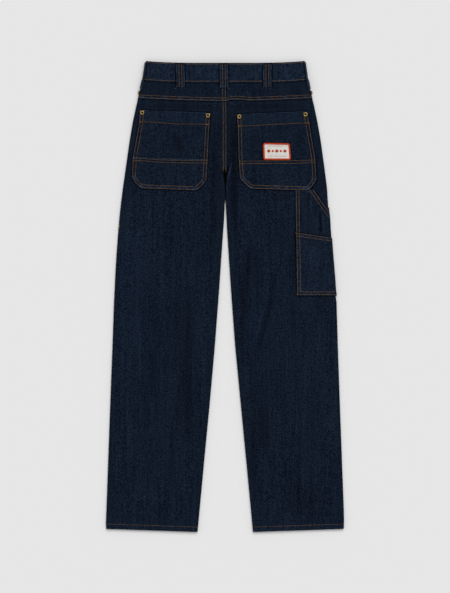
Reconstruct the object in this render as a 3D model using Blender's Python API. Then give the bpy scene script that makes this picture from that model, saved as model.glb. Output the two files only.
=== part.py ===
"""Carpenter jeans laid flat with the back up.

The cloth lies in the XY plane with the waist towards +Y. The front panels rest on the ground, the back
panels lie on them, and each leg is a flattened tube whose two side folds are rounded. Sizes are in
millimetres, and shell() turns them into metres. A "drop" is a distance down from the waist's top edge.
"""

import math
from collections import namedtuple

import bmesh
import bpy
from mathutils import Vector

MM = 0.001

# Driving sizes of the cloth and the garment
PLY = 1.2
SEAM_GAP = 0.3
LENGTH = 1077.6
BAND_HEIGHT = 45.4
BAND_PLY = 2.2
WAIST_HALF = 184.0
BACK_WAIST_DIP = 4.6
FRONT_WAIST_DIP = 24.0
HEM_DEPTH = 12.0
HEM_PLY = 2.6
HEM_RISE = 7.0
HEM_INNER = 66.0
HEM_RUN = 206.0
FOLD_RADIUS = 4.5
MIDDLE_LINE = 0.9
ROUNDING = 0.5

# Heights above the ground, for the stack at the waist
LOOP_PLY = 2.0
FRONT_BAND_FACE = LOOP_PLY + SEAM_GAP
YOKE_LIFT = SEAM_GAP + PLY
BAND_ABOVE_BASE = YOKE_LIFT + 0.9
BAND_INSET = 1.8
CLOSURE_BULGE = 1.6
CLOSURE_HALF = (24.0, 90.0)
CLOSURE_DROPS = (60.0, 150.0)
SIDE_RIVET_LIFT = 3.1

# The outline: distances of the side folds from the middle line, left and right
Side = namedtuple("Side", "drop left right")
OUTSEAM = (
    Side(0.0, 183.2, 184.4),
    Side(48.0, 188.7, 189.9),
    Side(66.0, 192.4, 193.4),
    Side(84.0, 197.6, 198.2),
    Side(98.0, 202.0, 202.9),
    Side(139.0, 210.9, 211.6),
    Side(180.5, 218.0, 218.9),
    Side(235.5, 225.8, 226.5),
    Side(290.5, 233.6, 233.6),
    Side(331.5, 238.8, 236.1),
    Side(359.0, 241.6, 239.4),
    Side(386.5, 244.1, 240.9),
    Side(441.5, 248.2, 245.0),
    Side(496.5, 251.4, 249.6),
    Side(524.0, 252.6, 251.4),
    Side(551.5, 254.0, 255.4),
    Side(650.0, 257.4, 258.3),
    Side(787.5, 262.7, 263.1),
    Side(925.0, 267.7, 268.2),
    Side(1028.0, 271.4, 272.1),
    Side(1056.0, 272.5, 272.5),
    Side(LENGTH, 271.9, 271.6),
)
# The inner folds of the legs, measured from the middle line, positive to the right
Inner = namedtuple("Inner", "drop left right")
INSEAM = (
    Inner(0.0, 0.75, 1.05),
    Inner(300.0, 0.75, 1.05),
    Inner(317.0, 0.2, 0.9),
    Inner(326.0, -0.5, 1.4),
    Inner(339.6, -1.0, 2.3),
    Inner(353.4, -1.6, 3.1),
    Inner(367.1, -2.4, 3.8),
    Inner(386.5, -3.9, 4.9),
    Inner(441.5, -7.8, 8.4),
    Inner(524.0, -13.4, 13.8),
    Inner(650.0, -23.0, 23.1),
    Inner(787.5, -35.2, 36.4),
    Inner(925.0, -48.5, 49.6),
    Inner(1028.0, -58.1, 59.5),
    Inner(LENGTH, -62.8, 64.0),
)
# Height of the upper layer's outer face: along the middle of a panel, and near a side fold
Stack = namedtuple("Stack", "drop middle fold")
STACK = (
    Stack(0.0, 6.6, 6.8),
    Stack(60.0, 6.6, 6.8),
    Stack(110.0, 6.0, 6.4),
    Stack(180.0, 5.4, 6.1),
    Stack(290.0, 4.9, 6.0),
    Stack(420.0, 4.6, 5.8),
    Stack(650.0, 4.4, 5.6),
    Stack(980.0, 4.6, 5.7),
    Stack(1050.0, 5.6, 6.2),
    Stack(LENGTH, 6.4, 6.5),
)
# Where a row is sampled for its drop: at mid panel, and close to the side fold in each region
MID_PANEL = 100.0
SIDE_AT_YOKE = 190.0
SIDE_AT_YOKE_EDGE = 198.0
SIDE_AT_MOUTH = 200.0
SIDE_AT_POCKET = 240.0
SIDE_AT_HEM = 250.0

FOLD_SHOULDER = 9.0
FOLD_SPREAD = 38.0
CROTCH_START = 238.0
CROTCH_END = 288.0

# The largest soft troughs pressed into the upper layer
Trough = namedtuple("Trough", "x start end half_width depth")
TROUGH_FADE_IN = 90.0
TROUGH_FADE_OUT = 110.0
TROUGHS = (
    Trough(-86.0, 500.0, 860.0, 20.0, 0.7),
    Trough(-150.0, 640.0, 980.0, 24.0, 0.4),
    Trough(-196.0, 380.0, 640.0, 22.0, 0.4),
    Trough(41.0, 400.0, 700.0, 18.0, 0.5),
    Trough(92.0, 560.0, 960.0, 24.0, 0.5),
    Trough(158.0, 555.0, 680.0, 16.0, 0.6),
    Trough(196.0, 700.0, 1000.0, 24.0, 0.4),
)

# Seams and bands that cross the back
YOKE_EDGE_SIDE = 86.0
YOKE_EDGE_MIDDLE = 93.0
YOKE_LAP = 8.0
YOKE_ROWS = (0.0, 0.35, 0.7, 1.0)
YOKE_BEND = 1.5

# Back pockets: the outline runs down each side in rows, and the bottom sags by its droop at either end
PocketRow = namedtuple("PocketRow", "share left right")
PocketSpec = namedtuple(
    "PocketSpec", "name top_left top_right bottom_left bottom_right droop_left droop_right lower_share rows"
)
BACK_POCKETS = (
    PocketSpec(
        "back_pocket_left", 111.8, 118.2, 290.8, 294.9, 1.4, 3.4, 0.605,
        (
            PocketRow(0.0, -195.8, -32.5),
            PocketRow(0.155, -197.0, -35.0),
            PocketRow(0.60, -211.4, -38.8),
            PocketRow(0.865, -214.1, -41.7),
            PocketRow(0.93, -206.5, -50.5),
            PocketRow(1.0, -193.0, -64.6),
        ),
    ),
    PocketSpec(
        "back_pocket_right", 121.8, 114.3, 291.5, 292.2, 0.6, 5.0, 0.64,
        (
            PocketRow(0.0, 26.1, 188.5),
            PocketRow(0.155, 28.2, 193.5),
            PocketRow(0.60, 30.2, 207.0),
            PocketRow(0.865, 33.4, 210.2),
            PocketRow(0.93, 43.5, 203.0),
            PocketRow(1.0, 58.2, 191.2),
        ),
    ),
)
POCKET_HEM_SHARE = 0.155
POCKET_HEM_EXTRA = 0.9
POCKET_LOWER_EXTRA = 0.5
POCKET_STEP_SHARE = 0.012
POCKET_DROOP_FROM = 0.65
POCKET_COLUMNS = (0.0, 0.005, 0.07, 0.14, 0.32, 0.5, 0.68, 0.86, 0.93, 0.995, 1.0)
POCKET_ROWS_ABOVE = (0.0, 0.005, 0.075, 0.155, 0.167, 0.30, 0.45)
POCKET_ROWS_BELOW = (0.75, 0.865, 0.93, 0.995, 1.0)

# Tool pockets on the right leg
TOOL_LEFT = 160.8
TOOL_LEFT_LOW = 163.8
TOOL_TOP = 298.8
TOOL_MOUTH_IN = 206.5
TOOL_MOUTH_DROP = 335.0
TOOL_BOTTOM = 537.0
RULE_TOP_LEFT = 391.5
RULE_TOP_RIGHT = 404.0
RULE_WIDTH = 75.0
LEG_POCKET_COLUMNS = (0.33, 0.66, 0.97, 1.0)

# Front pockets: a scooped mouth from the band to the side seam
MOUTH_START = 92.0
MOUTH_END = 190.0
MOUTH_SIDE_DEPTH = 62.0
MOUTH_ROUNDNESS = 2.2

# Patch on the right back pocket
PATCH_LEFT = 87.0
PATCH_RIGHT = 150.0
PATCH_TOP = 186.5
PATCH_HEIGHT = 39.5
PATCH_PLY = 1.0
PATCH_CORNER = 5.0

# Belt loops
LOOP_WIDTH = 21.5
LOOP_LENGTH = 55.0
LOOP_TOP = 2.5
LOOP_STEP = (44.8, 51.0)
LOOP_COLUMNS = (-0.5, -0.46, 0.0, 0.46, 0.5)
LOOP_RUNS = (0.0, 0.6, 14.0, 28.0, 44.8, 48.0, 51.0, LOOP_LENGTH - 0.6, LOOP_LENGTH)
SIDE_LOOP_ANGLES = (8.0, -16.0, -45.0, -90.0)
SIDE_LOOP_LEVELS = (0.08, 0.36, 0.68, 1.0)
SIDE_LOOP_REACH = 12.5
BACK_LOOPS = (("belt_loop_back_left", -102.0), ("belt_loop_back", -2.3), ("belt_loop_back_right", 97.0))
FRONT_LOOPS = (("belt_loop_front_left", -92.0), ("belt_loop_front_right", 92.0))

# Metal pieces
BACK_RIVETS = (
    ("rivet_left_outer", -189.4, 118.5), ("rivet_left_inner", -39.0, 125.0),
    ("rivet_right_inner", 32.6, 127.5), ("rivet_right_outer", 184.0, 122.5),
)
RIVET_RADIUS = 4.6
RIVET_HEIGHT = 1.5
SIDE_RIVET_DROP = 72.5
SIDE_RIVET_ANGLE = 38.0
BUTTON_RADIUS = 8.5
ZIP_LENGTH = 120.0
ZIP_HALF_WIDTH = 14.0
ZIP_PLY = 0.9
LAP_END = 16.0
UNDERLAP_END = -22.0
LAP_EASE = (18.0, 60.0)

# Stations of the waistband, as shares of its half width, and round a side fold as angles
BAND_LAP = (-0.05, -0.17)
BAND_FRONT = (0.94, 0.8, 0.62, 0.45, 0.3)
BAND_FRONT_END = (0.2, 0.12, 0.04)
BAND_BACK = (0.94, 0.82, 0.66, 0.5, 0.36, 0.24, 0.13, 0.0)
BAND_FOLD = (-90.0, -45.0, 0.0, 45.0, 90.0)


def smooth(low, high, value):
    """An eased step from 0 at low to 1 at high."""
    t = min(1.0, max(0.0, (value - low) / (high - low)))
    return t * t * (3.0 - 2.0 * t)


def mix(a, b, t):
    return a + (b - a) * t


def from_table(rows, drop, column):
    """A column of a table of sections, read at a drop with straight lines between its rows."""
    for upper, lower in zip(rows, rows[1:]):
        if drop <= lower.drop:
            share = (drop - upper.drop) / (lower.drop - upper.drop)
            return mix(getattr(upper, column), getattr(lower, column), max(0.0, share))
    return getattr(rows[-1], column)


def side_x(side, drop):
    """Where the outer fold of a side lies, negative on the left."""
    reach = from_table(OUTSEAM, drop, "left" if side < 0 else "right")
    return side * reach


def inner_x(side, drop):
    return from_table(INSEAM, drop, "left" if side < 0 else "right")


def back_waist(x):
    """Drop of the back's top edge, whose corners stand a little above its middle."""
    return BACK_WAIST_DIP * (1.0 - min(1.0, abs(x) / WAIST_HALF) ** 4)


def front_waist(x):
    return FRONT_WAIST_DIP * (1.0 - min(1.0, abs(x) / WAIST_HALF) ** 2)


def yoke_edge(x):
    """Drop of the yoke's lower edge, which rises towards the sides."""
    return mix(YOKE_EDGE_MIDDLE, YOKE_EDGE_SIDE, min(1.0, abs(x) / SIDE_AT_YOKE_EDGE) ** YOKE_BEND)


def hem_edge(x):
    """Drop of the hem: the outer corners stand a little above the inner ones."""
    return LENGTH - HEM_RISE * max(0.0, (abs(x) - HEM_INNER) / HEM_RUN)


def closure_bulge(x, drop):
    """The lift of the back over the button and the lapped ends of the waistband."""
    return CLOSURE_BULGE * (1.0 - smooth(*CLOSURE_HALF, abs(x))) * (1.0 - smooth(*CLOSURE_DROPS, drop))


def crotch_share(drop):
    """0 where the two sides of the seat are one sheet, 1 where each leg has its own inner fold."""
    return smooth(CROTCH_START, CROTCH_END, drop)


def trough_depth(x, drop):
    """How far the soft troughs press the upper layer down."""
    depth = 0.0
    for trough in TROUGHS:
        across = max(0.0, 1.0 - ((x - trough.x) / trough.half_width) ** 2) ** 2
        begun = smooth(trough.start, trough.start + TROUGH_FADE_IN, drop)
        ended = smooth(trough.end - TROUGH_FADE_OUT, trough.end, drop)
        depth += trough.depth * across * begun * (1.0 - ended)
    return depth


def back_height(x, drop):
    """Height of the upper layer's outer face, away from the rounding of the folds."""
    side = -1 if x < MIDDLE_LINE else 1
    middle = from_table(STACK, drop, "middle")
    fold = from_table(STACK, drop, "fold")
    to_outer = abs(side_x(side, drop) - x)
    to_inner = abs(inner_x(side, drop) - x)
    near_outer = 1.0 - smooth(FOLD_SHOULDER, FOLD_SPREAD, to_outer)
    near_inner = (1.0 - smooth(FOLD_SHOULDER, FOLD_SPREAD, to_inner)) * crotch_share(drop)
    lift = (fold - middle) * max(near_outer, near_inner)
    return middle + lift + closure_bulge(x, drop) - trough_depth(x, drop)


def front_height(x, drop):
    """Height of the lower layer's outer face, which leaves the ground only near the waistband."""
    below_band = drop - front_waist(x) - BAND_HEIGHT
    at_band = FRONT_BAND_FACE * (1.0 - smooth(0.0, 45.0, below_band))
    over_rivet = smooth(120.0, 180.0, abs(x)) * (1.0 - smooth(38.0, 80.0, below_band))
    return max(at_band, SIDE_RIVET_LIFT * over_rivet * smooth(-1.0, 12.0, below_band))


def seam_height(side, drop):
    """Height of a side seam, half way up the fold."""
    top = from_table(STACK, drop, "fold")
    bottom = front_height(side_x(side, drop), drop)
    return 0.5 * (top + bottom)


# Columns across a panel: angles round the fold, then distances from it, then shares of what is left
FOLD_ANGLES = (0.0, 40.0, 90.0)
FOLD_DISTANCES = (16.0, 27.0, 38.0)
MIDDLE_SHARES = (0.18, 0.5, 0.82)
FRONT_SHARES = (0.16, 0.24, 0.32, 0.42, 0.52, 0.64, 0.78, 0.9)
FACING_END_SHARE = 0.495

# Rows down a panel. Rows near a sloping edge are bent to follow it.
EDGE_RUN = 60.0
PANEL_DROPS = (
    112.0, 139.0, 165.0, 192.0, 218.0, 238.0, 255.0, 271.0, 288.0, 310.0, 331.5, 345.5, 362.0, 386.5,
    441.5, 490.0, 524.0, 551.5, 600.0, 650.0, 720.0, 787.5, 855.0, 925.0, 980.0, 1028.0,
)
FRONT_TOP_ROWS = (0.0, 14.0, 30.0, 46.0)
FRONT_TOP_LEVEL = 119.0
FRONT_TOP_RUN = 110.0
FRONT_DROPS = (
    165.0, 218.0, 238.0, 255.0, 271.0, 288.0, 310.0, 331.5, 345.5, 362.0, 386.5, 441.5, 524.0, 551.5, 650.0,
    787.5, 925.0, 1028.0,
)
ZIP_RUNS = (4.0,) + FRONT_TOP_ROWS[1:] + (60.0, ZIP_LENGTH)
ZIP_SECTION = ((-1.0, 0.0), (-0.24, 0.0), (-0.2, 0.7), (0.2, 0.7), (0.24, 0.0), (1.0, 0.0))
HEM_ROWS = (HEM_DEPTH + 1.5, HEM_DEPTH, 0.0)
FRONT_HEM_ROWS = (HEM_DEPTH + 1.5, HEM_DEPTH, 0.4)

# A point of a section: its place, and the direction that points out of the cloth
Spot = namedtuple("Spot", "x drop z nx nz")


def flat_spot(x, drop, height_at, up):
    """A point away from the folds, whose cloth faces straight up or down."""
    return Spot(x, drop, height_at(x, drop), 0.0, up)


def fold_spots(edge, inward, drop, seam, height_at, bend):
    """The points round one fold, from the seam at half height to the flat of the panel.

    bend is 1 at a fold and 0 where the edge is flat, as at the seat's middle seam."""
    spots = []
    radius = FOLD_RADIUS
    flat_x = edge + inward * radius
    flat_z = height_at(flat_x, drop)
    start = mix(flat_z, seam, bend)
    outward = 1.0 if flat_z >= seam else -1.0
    for degrees in FOLD_ANGLES:
        angle = math.radians(degrees)
        x = edge + inward * radius * (1.0 - math.cos(angle))
        rise = (flat_z - start) * math.sin(angle)
        z = start + rise if bend > 0.0 else height_at(x, drop)
        run = radius * math.sin(angle)
        climb = abs(flat_z - start) * math.cos(angle)
        size = math.hypot(run, climb) if bend > 0.0 else 1.0
        nx = -inward * bend * climb / size
        nz = outward * ((1.0 - bend) + bend * run / size)
        length = math.hypot(nx, nz)
        spots.append(Spot(x, drop, z, nx / length, nz / length))
    return spots


def back_section(side, outer, inner, drop_of, inner_bend):
    """One row of points across a half of the upper layer, from its outer fold to its inner edge."""
    inward = -side
    outer_drop = drop_of(outer)
    inner_drop = drop_of(inner)
    outer_seam = seam_height(side, outer_drop) + 0.5 * SEAM_GAP
    inner_seam = 0.5 * from_table(STACK, inner_drop, "fold") + 0.5 * SEAM_GAP
    spots = fold_spots(outer, inward, outer_drop, outer_seam, back_height, 1.0)
    flats = [outer + inward * distance for distance in FOLD_DISTANCES]
    last = inner - inward * FOLD_DISTANCES[-1]
    flats += [mix(flats[-1], last, share) for share in MIDDLE_SHARES]
    flats += [inner - inward * distance for distance in reversed(FOLD_DISTANCES)]
    spots += [flat_spot(x, drop_of(x), back_height, 1.0) for x in flats]
    ends = fold_spots(inner, side, inner_drop, inner_seam, back_height, inner_bend)
    return spots + list(reversed(ends))


def moved_out(spot, distance):
    """A point at a distance outside a spot of a section, in millimetres."""
    return (spot.x + spot.nx * distance, spot.drop, spot.z + spot.nz * distance)


def material(name, color, roughness, metallic=0.0):
    made = bpy.data.materials.new(name)
    made.use_nodes = True
    bsdf = made.node_tree.nodes["Principled BSDF"]
    bsdf.inputs["Base Color"].default_value = (*color, 1.0)
    bsdf.inputs["Roughness"].default_value = roughness
    bsdf.inputs["Metallic"].default_value = metallic
    return made


def placed(x, drop, z):
    """A place in metres, with the waist towards +Y."""
    return (x * MM, (LENGTH / 2 - drop) * MM, z * MM)


def shell(name, faces_out, faces_in, finish):
    """A closed wall between two grids of points that have the same rows and columns."""
    rows, columns = len(faces_out), len(faces_out[0])
    bm = bmesh.new()
    grids = []
    for grid in (faces_out, faces_in):
        grids.append([[bm.verts.new(placed(*point)) for point in row] for row in grid])
    out, inn = grids
    for i in range(rows - 1):
        for j in range(columns - 1):
            bm.faces.new((out[i][j], out[i + 1][j], out[i + 1][j + 1], out[i][j + 1]))
            bm.faces.new((inn[i][j], inn[i][j + 1], inn[i + 1][j + 1], inn[i + 1][j]))
    for i in range(rows - 1):
        bm.faces.new((out[i][0], inn[i][0], inn[i + 1][0], out[i + 1][0]))
        bm.faces.new((out[i][-1], out[i + 1][-1], inn[i + 1][-1], inn[i][-1]))
    for j in range(columns - 1):
        bm.faces.new((out[0][j], out[0][j + 1], inn[0][j + 1], inn[0][j]))
        bm.faces.new((out[-1][j], inn[-1][j], inn[-1][j + 1], out[-1][j + 1]))
    return finished(name, bm, finish)


def finished(name, bm, finish):
    """Turns a bmesh into a named object with outward faces and smooth shading."""
    bmesh.ops.recalc_face_normals(bm, faces=bm.faces)
    if bm.calc_volume(signed=True) < 0.0:
        bmesh.ops.reverse_faces(bm, faces=bm.faces)
    mesh = bpy.data.meshes.new(name)
    bm.to_mesh(mesh)
    bm.free()
    mesh.shade_smooth()
    mesh.set_sharp_from_angle(angle=math.radians(40.0))
    made = bpy.data.objects.new(name, mesh)
    mesh.materials.append(finish)
    bpy.context.scene.collection.objects.link(made)
    made.parent = bpy.data.objects["jeans"]
    return made


def panel_top(x):
    """Drop of a back panel's top edge, which lies under the yoke."""
    return yoke_edge(x) - YOKE_LAP


def back_rows():
    """For each row of a back panel, a function from x to the drop of the row there."""
    rows = [panel_top]
    for level in PANEL_DROPS:
        def drop_of(x, level=level):
            near_top = max(0.0, 1.0 - (level - YOKE_EDGE_MIDDLE) / EDGE_RUN)
            near_hem = max(0.0, 1.0 - (LENGTH - level) / EDGE_RUN)
            return level + (yoke_edge(x) - YOKE_EDGE_MIDDLE) * near_top + (hem_edge(x) - LENGTH) * near_hem
        rows.append(drop_of)
    rows += [lambda x, above=above: hem_edge(x) - above for above in HEM_ROWS]
    return rows


def panel_wall(side, drop_of):
    """The cloth's thickness in a row of a panel: the hem is folded up inside."""
    middle = side * MID_PANEL
    above_hem = hem_edge(middle) - drop_of(middle)
    return HEM_PLY if above_hem < HEM_DEPTH + 0.1 else PLY


def back_panel(name, side, finish):
    """The upper layer of one leg and of half the seat."""
    faces_out, faces_in = [], []
    for drop_of in back_rows():
        middle_drop = drop_of(side * MID_PANEL)
        outer = side_x(side, drop_of(side * SIDE_AT_HEM))
        inner = inner_x(side, middle_drop)
        spots = back_section(side, outer, inner, drop_of, crotch_share(middle_drop))
        wall = panel_wall(side, drop_of)
        faces_out.append([moved_out(spot, 0.0) for spot in spots])
        faces_in.append([moved_out(spot, -fold_wall(spot, wall)) for spot in spots])
    return shell(name, faces_out, faces_in, finish)


def fold_wall(spot, wall):
    """The wall's thickness, which goes back to a single ply where the cloth turns round a fold."""
    return PLY if abs(spot.nz) < 0.95 else wall


def yoke(name, side, finish):
    """The shaped band between the waistband and a back panel, lapped over the panel."""
    faces_out, faces_in = [], []
    for share in YOKE_ROWS:
        def drop_of(x, share=share):
            upper = back_waist(x) + BAND_HEIGHT + SEAM_GAP
            return mix(upper, yoke_edge(x), share)
        outer = side_x(side, drop_of(side * SIDE_AT_YOKE))
        inner = inner_x(side, drop_of(0.0))
        spots = back_section(side, outer, inner, drop_of, 0.0)
        faces_out.append([moved_out(spot, YOKE_LIFT) for spot in spots])
        faces_in.append([moved_out(spot, SEAM_GAP) for spot in spots])
    return shell(name, faces_out, faces_in, finish)


def band_path():
    """Stations round the waistband: a share of the half width, the fold angle and which layer it is on."""
    stations = [("lap", share, 0.0) for share in (LAP_END / WAIST_HALF,) + BAND_LAP]
    stations += [("front", -share, 0.0) for share in reversed(BAND_FRONT)]
    stations += [("fold", -1.0, angle) for angle in BAND_FOLD]
    stations += [("back", -share, 0.0) for share in BAND_BACK]
    stations += [("back", share, 0.0) for share in reversed(BAND_BACK[:-1])]
    stations += [("fold", 1.0, angle) for angle in reversed(BAND_FOLD)]
    stations += [("front", share, 0.0) for share in BAND_FRONT + BAND_FRONT_END]
    stations += [("front", UNDERLAP_END / WAIST_HALF, 0.0)]
    return stations


def band_spot(kind, share, angle, level):
    """One point of the waistband's outer face. level runs from 0 at its top edge to 1 at its lower edge."""
    side = -1 if share < 0 else 1
    drop = level * BAND_HEIGHT
    reach = abs(side_x(side, drop)) - BAND_INSET
    low = FRONT_BAND_FACE
    high = from_table(STACK, 0.0, "fold") + BAND_ABOVE_BASE
    if kind == "fold":
        turn = math.radians(angle)
        half = 0.5 * (high - low)
        x = side * (reach - FOLD_RADIUS + FOLD_RADIUS * math.cos(turn))
        z = 0.5 * (high + low) + half * math.sin(turn)
        run, rise = half * math.cos(turn), FOLD_RADIUS * math.sin(turn)
        size = math.hypot(run, rise)
        tilt = 0.5 + 0.5 * math.sin(turn)
        waist = mix(front_waist(x), back_waist(x), tilt)
        return Spot(x, waist + drop, z, side * run / size, rise / size)
    x = share * reach
    if kind == "back":
        z = back_height(x, BAND_HEIGHT) + BAND_ABOVE_BASE
        return Spot(x, back_waist(x) + drop, z, 0.0, 1.0)
    lapped_under = kind == "front" and share > UNDERLAP_END / WAIST_HALF - 0.01
    step = (BAND_PLY + SEAM_GAP) * (1.0 - smooth(*LAP_EASE, x)) if lapped_under else 0.0
    return Spot(x, front_waist(x) + drop, low + step, 0.0, -1.0)


def waistband(finish):
    """The band round the waist, bent at both sides, with its ends lapped at the centre front."""
    rounding = ((0.0, ROUNDING), (0.02, 0.0), (0.98, 0.0), (1.0, ROUNDING))
    faces_out, faces_in = [], []
    for kind, share, angle in band_path():
        spots = [(band_spot(kind, share, angle, level), inset) for level, inset in rounding]
        faces_out.append([moved_out(spot, -inset) for spot, inset in spots])
        faces_in.append([moved_out(spot, -BAND_PLY) for spot, inset in spots])
    return shell("waistband", faces_out, faces_in, finish)


def back_loop(name, x, finish):
    """A belt loop on the back: it stands on the band and comes down onto the yoke."""
    faces_out, faces_in = [], []
    for run in LOOP_RUNS:
        out_row, in_row = [], []
        for share in LOOP_COLUMNS:
            at = x + share * LOOP_WIDTH
            drop = back_waist(x) + LOOP_TOP + run
            on_band = back_height(at, BAND_HEIGHT) + BAND_ABOVE_BASE
            on_yoke = back_height(at, drop) + YOKE_LIFT
            seat = mix(on_band, on_yoke, smooth(*LOOP_STEP, run)) + 1.5 * SEAM_GAP
            rounded = ROUNDING if abs(share) == 0.5 or run in (0.0, LOOP_LENGTH) else 0.0
            out_row.append((at, drop, seat + LOOP_PLY - rounded))
            in_row.append((at, drop, seat))
        faces_out.append(out_row)
        faces_in.append(in_row)
    return shell(name, faces_out, faces_in, finish)


def front_loop(name, x, finish):
    """A belt loop on the front half of the band, whose outer face rests on the ground."""
    faces_out, faces_in = [], []
    for run in (0.0, 14.0, 28.0, BAND_HEIGHT - 1.0):
        out_row, in_row = [], []
        for share in (-0.5, 0.0, 0.5):
            at = x + share * LOOP_WIDTH
            drop = front_waist(x) + run + 0.5
            out_row.append((at, drop, 0.0))
            in_row.append((at, drop, LOOP_PLY))
        faces_out.append(out_row)
        faces_in.append(in_row)
    return shell(name, faces_out, faces_in, finish)


def side_loop(name, side, finish):
    """A belt loop just in front of a side fold, bent round the fold's lower half."""
    faces_out, faces_in = [], []
    for level in SIDE_LOOP_LEVELS:
        spots = [band_spot("fold", side, angle, level) for angle in SIDE_LOOP_ANGLES]
        last = spots[-1]
        spots.append(last._replace(x=last.x - side * SIDE_LOOP_REACH))
        faces_out.append([moved_out(spot, SEAM_GAP + LOOP_PLY - 0.05) for spot in spots])
        faces_in.append([moved_out(spot, SEAM_GAP) for spot in spots])
    return shell(name, faces_out, faces_in, finish)


def pocket_extra(spec, share):
    """What the hem band and the doubled lower part add to a back pocket's thickness."""
    hem = POCKET_HEM_EXTRA if share <= POCKET_HEM_SHARE else 0.0
    lower = POCKET_LOWER_EXTRA if share >= spec.lower_share else 0.0
    return hem + lower


def pocket_sides(spec, share):
    """x of a back pocket's left and right edges at a share of its height."""
    for upper, lower in zip(spec.rows, spec.rows[1:]):
        if share <= lower.share:
            t = (share - upper.share) / (lower.share - upper.share)
            return mix(upper.left, lower.left, t), mix(upper.right, lower.right, t)
    return spec.rows[-1].left, spec.rows[-1].right


def pocket_drop(spec, x, share):
    """Drop of a back pocket's row at x, with the sag of its lower part."""
    wide = (x - spec.rows[0].left) / (spec.rows[0].right - spec.rows[0].left)
    upper = mix(spec.top_left, spec.top_right, wide)
    lower = mix(spec.bottom_left, spec.bottom_right, wide)
    sag = max(0.0, (share - POCKET_DROOP_FROM) / (1.0 - POCKET_DROOP_FROM))
    return mix(upper, lower, share) + mix(spec.droop_left, spec.droop_right, wide) * sag


def back_pocket(spec, finish):
    """A patch pocket made from the back panel's own surface, moved out."""
    at_step = (spec.lower_share - POCKET_STEP_SHARE, spec.lower_share)
    faces_out, faces_in = [], []
    for share in POCKET_ROWS_ABOVE + at_step + POCKET_ROWS_BELOW:
        left, right = pocket_sides(spec, share)
        out_row, in_row = [], []
        for place in POCKET_COLUMNS:
            x = mix(left, right, place)
            drop = pocket_drop(spec, x, share)
            seat = back_height(x, drop) + SEAM_GAP
            rounded = ROUNDING if place in (0.0, 1.0) or share in (0.0, 1.0) else 0.0
            out_row.append((x, drop, seat + PLY + pocket_extra(spec, share) - rounded))
            in_row.append((x, drop, seat))
        faces_out.append(out_row)
        faces_in.append(in_row)
    return shell(spec.name, faces_out, faces_in, finish)


def tool_mouth(x):
    """Drop of the tool pocket's top edge: level under the back pocket, then slanting to the side seam."""
    fold_start = side_x(1, TOOL_MOUTH_DROP) - FOLD_RADIUS - 0.5
    share = (x - TOOL_MOUTH_IN) / (fold_start - TOOL_MOUTH_IN)
    return TOOL_TOP + (TOOL_MOUTH_DROP - TOOL_TOP) * min(1.0, max(0.0, share))


def rule_mouth(x):
    """Drop of the rule pocket's top edge."""
    return mix(RULE_TOP_LEFT, RULE_TOP_RIGHT, min(1.0, (x - TOOL_LEFT) / RULE_WIDTH))


def leg_pocket(name, mouth, lift, finish):
    """A pocket on the outer side of the right leg, carried round the side fold to the seam."""
    faces_out, faces_in = [], []
    side_top = mouth(SIDE_AT_POCKET)
    levels = [drop for drop in PANEL_DROPS if side_top + 4.0 < drop < TOOL_BOTTOM - 4.0]
    for share in [0.0] + [(drop - side_top) / (TOOL_BOTTOM - side_top) for drop in levels] + [1.0]:
        def drop_of(x, share=share):
            return mix(mouth(x), TOOL_BOTTOM, share)
        outer = side_x(1, drop_of(SIDE_AT_POCKET))
        left = mix(TOOL_LEFT, TOOL_LEFT_LOW, smooth(TOOL_TOP, TOOL_BOTTOM, drop_of(TOOL_LEFT)))
        seam = seam_height(1, drop_of(outer)) + 0.5 * SEAM_GAP
        spots = fold_spots(outer, -1, drop_of(outer), seam, back_height, 1.0)
        xs = [outer - distance for distance in FOLD_DISTANCES]
        xs += [mix(xs[-1], left, place) for place in LEG_POCKET_COLUMNS]
        spots += [flat_spot(x, drop_of(x), back_height, 1.0) for x in xs]
        faces_out.append([moved_out(spot, lift + PLY) for spot in spots])
        faces_in.append([moved_out(spot, lift) for spot in spots])
    return shell(name, faces_out, faces_in, finish)


def patch(finish):
    """The small cloth patch on the right back pocket, with rounded corners."""
    corner = PATCH_CORNER
    turn = corner * (1.0 - math.cos(math.radians(45.0)))
    rows = (
        (0.0, corner), (turn, turn), (corner, 0.0), (0.5 * PATCH_HEIGHT, 0.0),
        (PATCH_HEIGHT - corner, 0.0), (PATCH_HEIGHT - turn, turn), (PATCH_HEIGHT, corner),
    )
    faces_out, faces_in = [], []
    for run, inset in rows:
        out_row, in_row = [], []
        for place in (0.0, 0.34, 0.67, 1.0):
            x = mix(PATCH_LEFT + inset, PATCH_RIGHT - inset, place)
            drop = PATCH_TOP + run
            seat = back_height(x, drop) + 2 * SEAM_GAP + PLY
            out_row.append((x, drop, seat + PATCH_PLY))
            in_row.append((x, drop, seat))
        faces_out.append(out_row)
        faces_in.append(in_row)
    return shell("patch", faces_out, faces_in, finish)


def turned(name, profile, place, axis, finish, steps=20):
    """A round metal piece: a profile of (radius, height) rows closed on the axis at both ends."""
    bm = bmesh.new()
    rings = []
    for radius, height in profile:
        if radius == 0.0:
            rings.append([bm.verts.new((0.0, 0.0, height * MM))])
            continue
        ring = []
        for step in range(steps):
            angle = 2.0 * math.pi * step / steps
            point = Vector((radius * math.cos(angle), radius * math.sin(angle), height))
            ring.append(bm.verts.new(point * MM))
        rings.append(ring)
    for low, high in zip(rings, rings[1:]):
        for step in range(steps):
            after = (step + 1) % steps
            corners = [low[step % len(low)], low[after % len(low)]]
            corners += [high[after % len(high)], high[step % len(high)]]
            bm.faces.new(list(dict.fromkeys(corners)))
    made = finished(name, bm, finish)
    made.rotation_euler = Vector((0.0, 0.0, 1.0)).rotation_difference(Vector(axis)).to_euler()
    made.location = placed(*place)
    return made


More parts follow.
